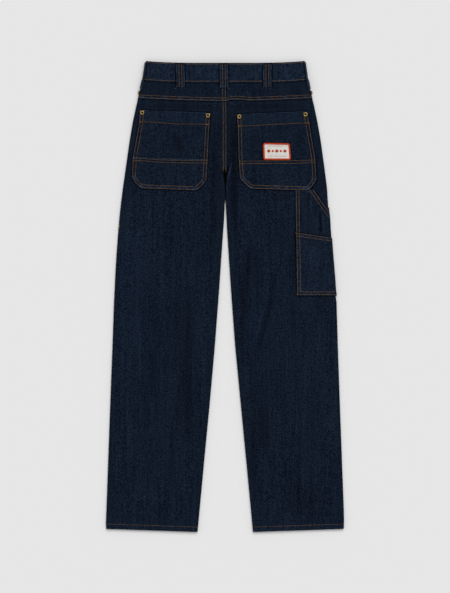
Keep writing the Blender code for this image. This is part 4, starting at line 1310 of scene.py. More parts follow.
@dataclass
class Yokes:
    """The two halves of the yoke, felled together at the middle and lapped over the back panels."""

    rows: int = 13
    columns: int = 52
    stitch_up: Point = (2.6, 8.2)
    rope: Point = (5.1, 1.3)
    step_rise: float = 3.2

    def drop_of(self, x: Array, level: Array) -> Array:
        """The drop at x of a row, from 0 under the waistband to 1 at the lower edge."""
        return mix(JEANS.back_waist(x) + BAND_HEIGHT + SEAM_GAP, self.edge(x), level)

    def edge(self, x: Number) -> Number:
        """The drop of the lower edge, which rises in a small step just right of the middle seam."""
        return JEANS.yoke_edge(x) - self.step_rise * smooth(4.5, 12.0, x) * fade(30.0, 62.0, x)

    def felled_height(self, x: Array, drop: Array) -> Array:
        """The height of the layer under the left half, raised at the felled seam."""
        return JEANS.back_height(x, drop) + FELL_RISE * smooth(*FELL_EDGE, x)

    def grid(self, side: int) -> Cloth:
        """The grid of one half.

        Args:
            side: -1 for the left one and 1 for the right one.

        Returns:
            The grid.
        """
        levels = np.concatenate([np.linspace(0.0, 0.97, self.rows), [0.985, 0.993, 1.0]])
        height = self.felled_height if side < 0 else JEANS.back_height
        lap = (lambda drop: FELL_REACH + 0.0 * drop) if side < 0 else still
        cloth = section_grid(side, self.drop_of, levels, self.columns, height, 1, lap=lap)
        above, rope = self.edge(cloth.x) - cloth.drop, roping(cloth.x, *self.rope, cloth.x / 19.0)
        inside = fade(self.stitch_up[1], self.stitch_up[1] + 3.0, above)
        cloth.raised(YOKE_LIFT + 0.22 * rope * inside - 0.45 * fade(0.0, 1.0, above))
        # Painted shade at the lower edge, on the folds and between the rows of stitches, with the painted
        # shading of creases; painted contact shadow under the band and beside the loops.
        wear, dark = edge_marks(above, 0.42)
        middle = between_rows(above, self.stitch_up)
        tone = creased(JEANS.painted_shading, cloth.x, cloth.drop)
        cloth.wear = wear + 0.75 * ripples(rope, middle)
        cloth.shade = dark + tone + 0.5 * (1.0 - np.abs(cloth.nz)) + 0.2 * middle
        cloth.pucker = inside
        gaps = [cloth.drop - JEANS.back_waist(cloth.x) - BAND_HEIGHT]
        gaps += [outside(line, cloth.x, cloth.drop) for line in LOOPS.outlines()]
        cloth.near = np.minimum.reduce(gaps)
        return cloth

    def build(self, finishes: Wardrobe) -> Made:
        """Makes both halves.

        Args:
            finishes: The materials.

        Returns:
            The pieces and grids by node.
        """
        made: Made = {}
        for word, side in SIDES:
            made |= tailored(f"yoke_{word}", f"yoke_half_{word}", self.grid(side), finishes.denim)
        return made


YOKES = Yokes()


@dataclass
class FrontPockets:
    """The cloth that shows in the front pockets' mouths, flush with the front panels."""

    inner_end: float = 98.505
    rows: int = 18
    columns: int = 60

    def drop_of(self, x: Array, level: Array) -> Array:
        """The drop at x of a row, from 0 under the waistband to 1 at the mouth's edge."""
        upper = JEANS.front_waist(x) + BAND_HEIGHT + SEAM_GAP
        return mix(upper, np.maximum(upper + 0.3, PANELS.front_edge(x) - 2 * SEAM_GAP), level)

    def build(self, finishes: Wardrobe) -> Made:
        """Makes both facings.

        Args:
            finishes: The materials.

        Returns:
            The pieces and grids by node.
        """
        made: Made = {}
        levels = np.linspace(0.0, 1.0, self.rows)
        for word, side in SIDES:
            whole = section_grid(
                side, self.drop_of, levels, self.columns, JEANS.plain_front, -1, reach=PANELS.front_reach,
            )
            keep = np.abs(whole.x[0]) > self.inner_end
            grid = Cloth(**{key: getattr(whole, key)[:, keep] for key in ("x", "drop", "z", "nx", "nz")})
            made |= tailored(f"front_pocket_{word}", f"pocket_facing_{word}", grid, finishes.denim)
        return made


class BandPart(Enum):
    """The stretches of the waistband."""

    LAP = auto()
    FRONT = auto()
    FOLD = auto()
    BACK = auto()


class BandRow(Enum):
    """The runs of stitches along the waistband."""

    BACK = auto()
    LEFT = auto()
    RIGHT = auto()


Station = tuple[BandPart, float, float]


@dataclass
class Waistband:
    """The band round the waist, bent at both sides, with its ends lapped at the centre front."""

    lap_end: float = 16.0
    underlap_end: float = -22.0
    inset: float = 1.8
    top_stitch: float = 2.9
    low_stitch: float = 42.0
    flat_share: float = 0.955
    sewn_fold: float = -40.0
    sewn_left: float = -0.18
    creases: tuple[Crease, ...] = ridges(
        (6, 0.3, -70, 10, -52, 34), (7, 0.25, -150, 12, -128, 30), (5, -0.3, 30, 8, 44, 26, 46, 40),
        (5, 0.25, 60, 36, 82, 16), (7, 0.3, 126, 34, 150, 14), (5, -0.3, 162, 10, 170, 38),
        (5, 0.25, -30, 14, -24, 40),
    )

    def stations(self) -> list[Station]:
        """Stations round the band.

        Returns:
            For each the part, a share of the half width, and an angle in degrees round the fold.
        """
        flat, turns = self.flat_share, np.linspace(-90.0, 90.0, 13).tolist()
        lap = [(BandPart.LAP, share, 0.0) for share in np.linspace(self.lap_end / WAIST_HALF, -0.17, 14)]
        left = [(BandPart.FRONT, -share, 0.0) for share in np.linspace(0.19, flat, 44)]
        out = [(BandPart.FOLD, -1.0, turn) for turn in turns]
        back = [(BandPart.BACK, share, 0.0) for share in np.linspace(-flat, flat, 104)]
        home = [(BandPart.FOLD, 1.0, turn) for turn in turns[::-1]]
        under = self.underlap_end / WAIST_HALF
        right = [(BandPart.FRONT, share, 0.0) for share in np.linspace(flat, under, 58)]
        return lap + left + out + back + home + right

    def spot(self, part: BandPart, share: float, angle: float, level: float) -> tuple[float, ...]:
        """One point of the outer face.

        Args:
            part: The part of the band.
            share: The place across, as a share of the half width.
            angle: Degrees round a side fold.
            level: 0 at the top edge and 1 at the lower edge.

        Returns:
            x, drop, z and the way out of the cloth, as nx and nz.
        """
        side, drop = (-1 if share < 0 else 1), level * BAND_HEIGHT
        reach = abs(float(JEANS.side_x(side, drop))) - self.inset
        low, high = FRONT_BAND_FACE, float(JEANS.stack.read("fold", 0.0)) + BAND_ABOVE_BASE
        x = share * reach
        if part is BandPart.FOLD:
            turn, half = math.radians(angle), 0.5 * (high - low)
            x = side * (reach - FOLD_RADIUS + FOLD_RADIUS * math.cos(turn))
            run, rise = half * math.cos(turn), FOLD_RADIUS * math.sin(turn)
            size = math.hypot(run, rise)
            waist = float(mix(JEANS.front_waist(x), JEANS.back_waist(x), 0.5 + 0.5 * math.sin(turn)))
            z = 0.5 * (high + low) + half * math.sin(turn)
            return x, waist + drop, z, side * run / size, rise / size
        if part is BandPart.BACK:
            z = float(JEANS.plain_back(x, BAND_HEIGHT)) + BAND_ABOVE_BASE
            return x, float(JEANS.back_waist(x)) + drop, z + float(creased(self.creases, x, drop)), 0.0, 1.0
        step = 0.0
        if part is BandPart.FRONT and share > self.underlap_end / WAIST_HALF - 0.01:
            step = (BAND_PLY + SEAM_GAP) * float(fade(self.lap_end + 2.0, self.lap_end + 44.0, x))
        return x, float(JEANS.front_waist(x)) + drop, low + step, 0.0, -1.0

    def grid(self) -> Cloth:
        """The grid, with a column for each level and a row for each station.

        Returns:
            The grid.
        """
        levels = np.concatenate([[0.0, 0.006, 0.018], np.linspace(0.04, 0.96, 15), [0.982, 0.994, 1.0]])
        stations = self.stations()
        rows = np.array([[self.spot(*station, float(level)) for level in levels] for station in stations])
        x, drop, z, nx, nz = (rows[:, :, k] for k in range(5))
        run = levels[None, :] * BAND_HEIGHT + 0.0 * x
        to_edge = np.minimum(run, BAND_HEIGHT - run)
        wave = roping(x, 11.0, 1.0, x / 13.0) * fade(0.5, 5.0, BAND_HEIGHT - run)
        pressed = 0.55 * fade(0.0, 1.1, to_edge) + 0.18 * bell(to_edge, self.top_stitch, 0.9)
        cloth = Cloth(x, drop, z, nx, nz).raised(0.16 * wave - pressed)
        # Painted shade at the edges, round the folds and in a dark line along each fold's upper side;
        # crease ridges painted lighter and troughs darker; painted contact shadow beside the loops.
        wear, dark = edge_marks(to_edge, 0.20, 0.7)
        cloth.wear = wear + 0.12 * np.maximum(0.0, wave) + 0.10
        bent = 0.9 * smooth(0.04, 0.22, 1.0 - np.abs(nz))
        cloth.shade = dark + bent - 0.6 * creased(self.creases, x, drop)
        cloth.shade = cloth.shade + 1.2 * bell(nz, 1.0, 0.16) * (nz > 0.0) * (nz < 0.999)
        under_loops = np.abs(np.abs(x) - LOOPS.front[1][1]) - 0.5 * LOOPS.width
        beside = np.minimum.reduce([outside(outline, x, drop) for outline in LOOPS.outlines()])
        cloth.near = np.where(nz < 0.0, under_loops, beside)
        cloth.pucker = 0.25 + 0.75 * fade(3.0, 9.0, to_edge)
        return cloth

    def sewn(self, run: BandRow, part: BandPart, share: float, turn: float) -> bool:
        """Whether a run of stitches passes a station.

        Args:
            run: The run.
            part, share, turn: The station.

        Returns:
            Whether it does.
        """
        if run is BandRow.BACK:
            return part is BandPart.BACK or (part is BandPart.FOLD and turn > self.sewn_fold)
        if run is BandRow.LEFT:
            return part is BandPart.LAP or (part is BandPart.FRONT and share < self.sewn_left)
        return part is BandPart.FRONT and share > self.lap_end / WAIST_HALF + 0.01

    def row(self, stations: Sequence[Station], level: float) -> tuple[Array, Array]:
        """Points at stations of the band on one level, with the way out at each."""
        rows = np.array([self.spot(*station, level) for station in stations])
        return rows[:, :3], np.stack([rows[:, 3], 0.0 * rows[:, 3], rows[:, 4]], axis=-1)

    def stitches(self, level_mm: float, run: BandRow) -> tuple[Array, Array]:
        """Close points for a row of stitches along the band.

        Args:
            level_mm: The distance below the top edge.
            run: Which run of the band.

        Returns:
            Points in (x, drop, z) and directions.
        """
        stations = [station for station in self.stations() if self.sewn(run, *station)]
        return self.row(stations, level_mm / BAND_HEIGHT)

    def build(self, finishes: Wardrobe) -> Made:
        """Makes the band."""
        return tailored("waistband", "waistband_shell", self.grid(), finishes.denim, BAND_PLY)


BAND = Waistband()


@dataclass
class BeltLoops:
    """Three loops on the back, two at the sides and two on the front."""

    width: float = 21.5
    length: float = 55.0
    top: float = 2.5
    front_top: float = 0.5
    rows_apart: float = 6.2
    side_start: float = 0.06
    side_end: float = 1.42
    back: tuple[tuple[str, float], ...] = (
        ("belt_loop_back_left", -102.0), ("belt_loop_back", -2.3), ("belt_loop_back_right", 97.0),
    )
    front: tuple[tuple[str, float], ...] = (
        ("belt_loop_front_left", -92.0), ("belt_loop_front_right", 92.0),
    )
    half_across: tuple[float, ...] = (0.1, 0.145, 0.2, 0.3, 0.38, 0.43, 0.46, 0.485, 0.5)

    def cover(self, at: Array, run: Array) -> Array:
        """The bevel, the turned-in edges and the hollow between the two rows of stitches.

        Args:
            at, run: Places across from the loop's middle and down from its top.

        Returns:
            Heights above the loop's plain face.
        """
        to_side, to_end = 0.5 * self.width - np.abs(at), np.minimum(run, self.length - run)
        stitched = 0.2 * bell(np.abs(at), 0.5 * self.rows_apart, 0.9)
        hollow = 0.25 * fade(0.35 * self.rows_apart, 0.6 * self.rows_apart, np.abs(at))
        wave = 0.12 * np.sin(run * math.tau / 7.0 + at) * smooth(0.0, 3.0, to_side)
        return wave - 0.6 * fade(0.0, 1.2, np.minimum(to_side, to_end)) - stitched - hollow

    def mark(self, cloth: Cloth, at: Array, run: Array) -> Cloth:
        """Rubs a loop pale and puckers it, and paints shade on its very edges and down the hollow between
        its rows.

        Args:
            cloth: The loop's grid, which is changed.
            at, run: Places across from the loop's middle and down from its top.

        Returns:
            The grid.
        """
        to_side, to_end = 0.5 * self.width - np.abs(at), np.minimum(run, self.length - run)
        worn = 0.50 * bell(to_side, 2.3, 1.1) * smooth(1.0, 2.5, to_end)
        cloth.wear = worn + 0.45 * bell(self.length - run, 1.8, 0.8) + 0.04
        cloth.pucker = 0.3 + 0.7 * fade(3.0, 8.0, to_side)
        cloth.shade = 0.85 * fade(0.4, 1.7, np.minimum(to_side, to_end)) + 0.15 * bell(at, 0.0, 2.0)
        return cloth

    def outlines(self) -> list[list[Point]]:
        """The outlines of the back loops.

        Returns:
            The (x, drop) corners of each.
        """
        found = []
        for _, x in self.back:
            top = float(JEANS.back_waist(x)) + self.top
            left, right = x - 0.5 * self.width, x + 0.5 * self.width
            found.append([(left, top), (left, top + self.length), (right, top + self.length), (right, top)])
        return found

    def on_back(self, x: float) -> Field:
        """The height of a back loop's outer face.

        Args:
            x: The loop's middle.

        Returns:
            A function of (x, drop).
        """
        start = float(JEANS.back_waist(x)) + self.top

        def height(at: Array, drop: Array) -> Array:
            """The height at places.

            Args:
                at, drop: The places.

            Returns:
                Heights.
            """
            run = drop - start
            on_band = JEANS.plain_back(at, BAND_HEIGHT) + BAND_ABOVE_BASE
            on_yoke = JEANS.plain_back(at, drop) + YOKE_LIFT
            arch = 0.5 * np.sin(math.pi * np.clip(run / 44.0, 0.0, 1.0))
            return mix(on_band, on_yoke, smooth(44.8, 51.0, run)) + SEAM_GAP + 0.15 + LOOP_PLY + arch

        return height

    def places(self, run: Sequence[float]) -> tuple[Array, Array]:
        """Places across and down a loop, as two grids."""
        half = list(self.half_across)
        across = np.array([-h for h in half[::-1]] + [0.0] + half) * self.width
        return np.meshgrid(across, np.asarray(run, float))

    def lean(self, x: float, run: Number) -> Number:
        """How far a back loop leans across at places down it."""
        return 0.5 * np.sin(run / 13.0 + x)

    def back_grid(self, x: float) -> Cloth:
        """The grid of one loop on the back.

        Args:
            x: The loop's middle.

        Returns:
            The grid.
        """
        close = np.array([0.0, 0.4, 1.0, 2.0])
        middle = spaced(3.0, self.length - 3.0, 1.6)
        at, run = self.places(np.unique(np.concatenate([close, middle, self.length - close])))
        px, drop = x + at + self.lean(x, run), float(JEANS.back_waist(x)) + self.top + run
        return self.mark(Cloth.level(px, drop, self.on_back(x)(px, drop) + self.cover(at, run)), at, run)

    def front_grid(self, x: float) -> Cloth:
        """The grid of one loop on the front, whose outer face lies on the ground.

        Args:
            x: The loop's middle.

        Returns:
            The grid.
        """
        middle = spaced(2.0, BAND_HEIGHT - 3.0, 1.8)
        at, run = self.places([0.0, 0.6, *middle, BAND_HEIGHT - 1.6, BAND_HEIGHT - 1.0])
        drop = float(JEANS.front_waist(x)) + self.front_top + run
        z = -np.minimum(0.0, self.cover(at, run * self.length / BAND_HEIGHT))
        return self.mark(Cloth.level(x + at, drop, z, -1.0), at, run)

    def side_grid(self, side: int) -> Cloth:
        """The grid of the loop just in front of a side fold, bent round the fold's lower half.

        Args:
            side: -1 for the left one and 1 for the right one.

        Returns:
            The grid.
        """
        rows, turns = [], np.linspace(62.0, -90.0, 17).tolist()
        for level in np.linspace(self.side_start, self.side_end, 34).tolist():
            row = [BAND.spot(BandPart.FOLD, side, turn, level) for turn in turns]
            x, drop, z, nx, nz = row[-1]
            rows.append(row + [(x - side * reach, drop, z, nx, nz) for reach in (4.0, 8.0, 11.0, 12.5)])
        data = np.array(rows)
        x, drop, z, nx, nz = (data[:, :, k] for k in range(5))
        place, run = np.meshgrid(np.linspace(0.0, 1.0, x.shape[1]), np.linspace(0.0, 1.0, x.shape[0]))
        level = mix(self.side_start, self.side_end, run)
        to_end = (1.0 - run) * self.length
        to_side = np.minimum(place, 1.0 - place) * self.width
        to_edge = np.minimum(to_side, np.minimum(run * self.length, to_end))
        lift = self.side_lift(level, place) - 0.5 * fade(0.0, 1.3, to_edge)
        cloth = Cloth(x, drop, z, nx, nz).raised(lift)
        cloth.wear = 0.25 + 0.35 * fade(0.6, 2.0, to_edge) + 0.6 * fade(1.0, 4.0, to_end)
        # Painted shade along the loop's edge at the top of the fold.
        cloth.shade = 0.9 * fade(0.2, 0.9, place * self.width)
        cloth.pucker = 0.4
        return cloth

    def side_lift(self, level: Number, place: Number) -> Array:
        """How far a side loop's face stands off the band: it hangs free at its lower outer corner.

        Args:
            level: Places down the band, 1 at its lower edge.
            place: Shares of the way across the loop from its outer side.

        Returns:
            Distances in millimetres.
        """
        off_band = 2.4 * smooth(0.86, 1.04, level) * fade(0.35, 0.6, place)
        bulge = 1.2 * smooth(0.2, 0.8, level) * smooth(0.5, 0.1, place)
        return SEAM_GAP + LOOP_PLY - 0.05 + bulge + off_band

    def build(self, finishes: Wardrobe) -> Made:
        """Makes the seven loops.

        Args:
            finishes: The materials.

        Returns:
            The pieces and grids by node.
        """
        made: Made = {}
        grids = [(name, self.back_grid(x)) for name, x in self.back]
        grids += [(name, self.front_grid(x)) for name, x in self.front]
        grids += [(f"belt_loop_side_{word}", self.side_grid(side)) for word, side in SIDES]
        for name, grid in grids:
            made |= tailored(name, f"{name}_cloth", grid, finishes.denim, LOOP_PLY - 0.2)
        return made

    def stitches(self, sewing: Sewing) -> None:
        """Two rows down each loop, and a bar tack across each end on the front.

        Args:
            sewing: Where the stitches are kept.
        """
        offsets = (-0.5 * self.rows_apart, 0.5 * self.rows_apart)
        for _, x in self.back:
            start, height = float(JEANS.back_waist(x)) + self.top, self.on_back(x)
            face = flat_face(lambda at, drop, height=height: height(at, drop) - 0.15)
            for offset in offsets:
                line = [(x + offset + float(self.lean(x, run)), start + run) for run in range(1, 54, 4)]
                sewing.run(face, line, 2.9)
        for _, side in SIDES:
            for angle, place in ((24.0, 0.2), (-38.0, 0.52)):
                runs = np.linspace(0.08, self.side_end - self.side_start, 50)
                rows = [BAND.row([(BandPart.FOLD, side, angle)], float(run)) for run in runs]
                points, outs = (np.concatenate(part) for part in zip(*rows))
                sewing.lay(points + outs * self.side_lift(runs, place)[:, None], outs)
        under = flat_face(lambda at, drop: 0.0 * at + 0.45, -1.0)
        for _, x in self.front:
            start = float(JEANS.front_waist(x)) + self.front_top
            for offset in offsets:
                sewing.run(under, [(x + offset, start + 1.0), (x + offset, start + 43.0)], 2.9)
            for run in (2.2, 42.0):
                sewing.tack(under, (x - 6.5, start + run), (x + 6.5, start + run), 1.5)


LOOPS = BeltLoops()


@dataclass(frozen=True)
class PocketShape:
    """The outline of a back pocket: shares down each side, with x at the left and right edges."""

    node: str
    top: Point
    bottom: Point
    lower_share: float
    rows: tuple[tuple[float, float, float], ...]
    hem_line: tuple[Point, ...]
    lower_lines: tuple[tuple[Point, ...], ...]
    creases: tuple[Crease, ...]
    droop: Point
    droop_from: float = 0.65

    def sides(self, share: Number) -> tuple[Array, Array]:
        """x of the left and right edges at a share of the way down."""
        shares, left, right = zip(*self.rows)
        return np.interp(share, shares, left), np.interp(share, shares, right)

    def drop(self, x: Number, share: Number) -> Array:
        """The drop of a row across the pocket.

        Args:
            x: The place across.
            share: The row's share of the way down.

        Returns:
            The drop.
        """
        _, left, right = self.rows[0]
        wide = (x - left) / (right - left)
        low = mix(*self.droop, wide) * np.maximum(0.0, (share - self.droop_from) / (1.0 - self.droop_from))
        return mix(mix(*self.top, wide), mix(*self.bottom, wide), share) + low

    def share(self, x: Number, drop: Number) -> Array:
        """The share of the way down at (x, drop)."""
        shares, middle = np.linspace(-0.2, 1.2, 29), x.mean()
        down = self.drop(middle, shares) - self.drop(middle, 0.0)
        return np.interp(drop - self.drop(x, 0.0), down, shares)

    def outline(self) -> list[Point]:
        """The edge from the top left corner down, along the bottom and up to the top right corner."""
        left, right = ([(row[k], float(self.drop(row[k], row[0]))) for row in self.rows] for k in (1, 2))
        return left + right[::-1]


@dataclass
class BackPockets:
    """The two patch pockets, each with a hem band on top and a doubled lower part."""

    hem_share: float = 0.155
    hem_extra: float = 0.9
    lower_extra: float = 0.75
    rows: Point = (2.3, 8.9)
    pucker: Point = (7.5, 1.6)
    rope: Point = (4.9, 1.4)
    close: tuple[float, ...] = (0.003, 0.007, 0.012, 0.02)
    shapes: tuple[PocketShape, ...] = (
        PocketShape(
            "back_pocket_left", (111.8, 118.2), (290.8, 294.9), 0.605,
            (
                (0, -195.8, -32.5), (0.155, -197, -35), (0.6, -211.4, -38.8), (0.865, -214.1, -41.7),
                (0.93, -206.5, -50.5), (1, -193, -64.6),
            ),
            ((-195.5, 139.2), (-159, 140.4), (-115.4, 144.3), (-36.6, 145)),
            (
                ((-209.5, 221.9), (-150, 226.4), (-90, 227.6), (-39.5, 227.2)),
                ((-209.8, 227.2), (-150, 231.9), (-90, 233.4), (-39.5, 233.6)),
            ),
            ridges(
                (5, 0.45, -174, 143, -166, 158, -162, 176), (5, 0.4, -147, 146, -139, 160, -134, 180),
                (4, -0.35, -158, 146, -151, 166), (9, 0.4, -62, 168, -60, 215),
                (14, -0.4, -112, 165, -104, 215), (10, 0.3, -120, 244, -96, 278),
                (3.2, -0.55, -137, 113, -136, 138), (3, 0.35, -142, 114, -142, 136),
                (3.5, -0.3, -180, 116, -178, 134), (16, -0.5, -134, 150, -110, 185, -88, 218),
            ),
            (1.4, 3.4),
        ),
        PocketShape(
            "back_pocket_right", (121.8, 114.3), (291.5, 292.2), 0.64,
            (
                (0, 26.1, 188.5), (0.155, 28.2, 193.5), (0.6, 30.2, 207), (0.865, 33.4, 210.2),
                (0.93, 43.5, 203), (1, 58.2, 191.2),
            ),
            ((30, 148.6), (60, 148.4), (102.1, 145.6), (150, 143.4), (192.5, 141.6)),
            (
                ((32.5, 229.4), (100, 228.6), (150, 228.4), (206, 226.6)),
                ((32.8, 235.2), (100, 234.6), (150, 234.6), (206.6, 232.6)),
            ),
            ridges(
                (6, 0.35, 62, 152, 74, 172), (8, 0.35, 50, 158, 56, 206), (11, -0.35, 168, 150, 172, 200),
                (9, 0.35, 118, 240, 128, 276), (3.5, 0.45, 70, 118, 69, 142), (3, -0.4, 77, 119, 76, 140),
                (3.5, -0.35, 132, 117, 131, 139), (3, 0.3, 156, 116, 158, 138),
                (14, -0.4, 62, 160, 66, 215),
            ),
            (0.6, 5),
        ),
    )

    def extra(self, shape: PocketShape, x: Number, drop: Number) -> Array:
        """What the hem band, the doubled lower part and the pocket's own creases add.

        Args:
            shape: The pocket.
            x, drop: Places on it.

        Returns:
            Heights above the pocket's plain face.
        """
        share, top = shape.share(x, drop), self.hem_share
        hem = self.hem_extra * fade(top - 0.004, top + 0.008, share)
        low = self.lower_extra * smooth(shape.lower_share - 0.006, shape.lower_share + 0.002, share)
        ripple = roping(x, *self.pucker, x / 11.0) * (0.6 + 0.4 * np.sin(x / 31.0))
        banded = 0.16 * ripple * fade(top - 0.02, top + 0.03, share)
        return hem + low + banded - 0.25 * bell(share, top, 0.012) + creased(shape.creases, x, drop)

    def face(self, shape: PocketShape) -> Surface:
        """The surface of a pocket's outer face."""
        return JEANS.on_back(lambda x, drop: SEAM_GAP + PLY + self.extra(shape, x, drop))

    def grid(self, shape: PocketShape) -> Cloth:
        """The grid of one pocket.

        Args:
            shape: The pocket.

        Returns:
            The grid.
        """
        place = rounded_steps(0.0155, self.close).reshape(1, -1)
        marks = [self.hem_share + d for d in (-0.004, 0.002, 0.008)]
        marks += [shape.lower_share + d for d in (-0.006, -0.002, 0.002)] + [row[0] for row in shape.rows]
        shares = np.concatenate([rounded_steps(0.015, self.close), marks])
        share = np.unique(np.round(shares, 6)).reshape(-1, 1)
        left, right = shape.sides(share)
        x = mix(left, right, place)
        drop = shape.drop(x, share)
        height = shape.bottom[0] - shape.top[0]
        to_side, to_bottom = np.minimum(place, 1.0 - place) * (right - left), (1.0 - share) * height
        to_line = np.minimum(to_side, to_bottom)
        to_edge = np.minimum(to_line, share * height)
        roped = fade(self.rows[1], self.rows[1] + 3.0, to_line)
        rope = roping(x + drop, *self.rope, (x - drop) / 17.0)
        z = JEANS.back_height(x, drop) + SEAM_GAP + PLY + self.extra(shape, x, drop)
        z = z - 0.55 * fade(0.0, 1.2, to_edge) + 0.16 * rope * roped * smooth(0.5, 2.5, to_edge)
        cloth = Cloth.level(x, drop, z)
        wear, dark = edge_marks(to_edge, 0.36, 0.7)
        middle, lower_edge = between_rows(to_line, self.rows), (share - shape.lower_share) * height
        crests = (0.25 + 0.85 * smooth(36.0, 24.0, to_bottom)) * ripples(rope, middle)
        cloth.wear = wear + crests + 0.05 * (share < self.hem_share) + 0.008
        cloth.wear = cloth.wear + 0.30 * bell(lower_edge, 1.2, 0.8)
        for down, *ends in (shape.rows[3], shape.rows[5]):
            for end in ends:
                away = np.hypot(x - end, drop - shape.drop(end, down) + 4.0)
                cloth.wear = cloth.wear + 0.75 * bell(away, 0.0, 4.2) * middle
        # Painted shade at the edges, between the rows and just above the doubled lower part, with crease
        # troughs painted darker and ridges lighter; painted contact shadow round the rivets and the patch.
        cloth.shade = dark - 0.42 * creased(shape.creases, x, drop) + 0.22 * middle
        cloth.shade = cloth.shade + 0.35 * bell(lower_edge, -1.4, 1.1)
        gaps = [np.hypot(x - at, drop - down) - RIVETS.radius for _, at, down in RIVETS.places]
        if shape is self.shapes[1]:
            gaps.append(outside(PATCH.corners(), x, drop))
        cloth.near = np.minimum.reduce(gaps)
        near_hem = bell(share, self.hem_share, 0.05)
        cloth.pucker = np.clip(roped + near_hem + 0.8 * (share < self.hem_share), 0.0, 1.0)
        return cloth

    def build(self, finishes: Wardrobe) -> Made:
        """Makes both pockets.

        Args:
            finishes: The materials.

        Returns:
            The pieces and grids by node.
        """
        made: Made = {}
        for shape in self.shapes:
            made |= tailored(shape.node, f"{shape.node}_cloth", self.grid(shape), finishes.denim, PLY - 0.2)
        return made

    def stitches(self, shape: PocketShape, sewing: Sewing) -> None:
        """Two rows round the sides and bottom, one along the hem, and two across the lower part.

        Args:
            shape: The pocket.
            sewing: Where the stitches are kept.
        """
        face = self.face(shape)
        for distance in self.rows:
            line = inset(shape.outline(), distance)
            line[0], line[-1] = ((x, drop + 3.0) for x, drop in (line[0], line[-1]))
            sewing.run(face, line)
        for line in (shape.hem_line, *shape.lower_lines):
            sewing.run(face, line)
        for (x, drop), turn in ((shape.hem_line[0], 1), (shape.hem_line[-1], -1)):
            sewing.tack(face, (x - turn * 0.5, drop + 0.6), (x + turn * 6.0, drop + 0.6), 1.6)


POCKETS = BackPockets()


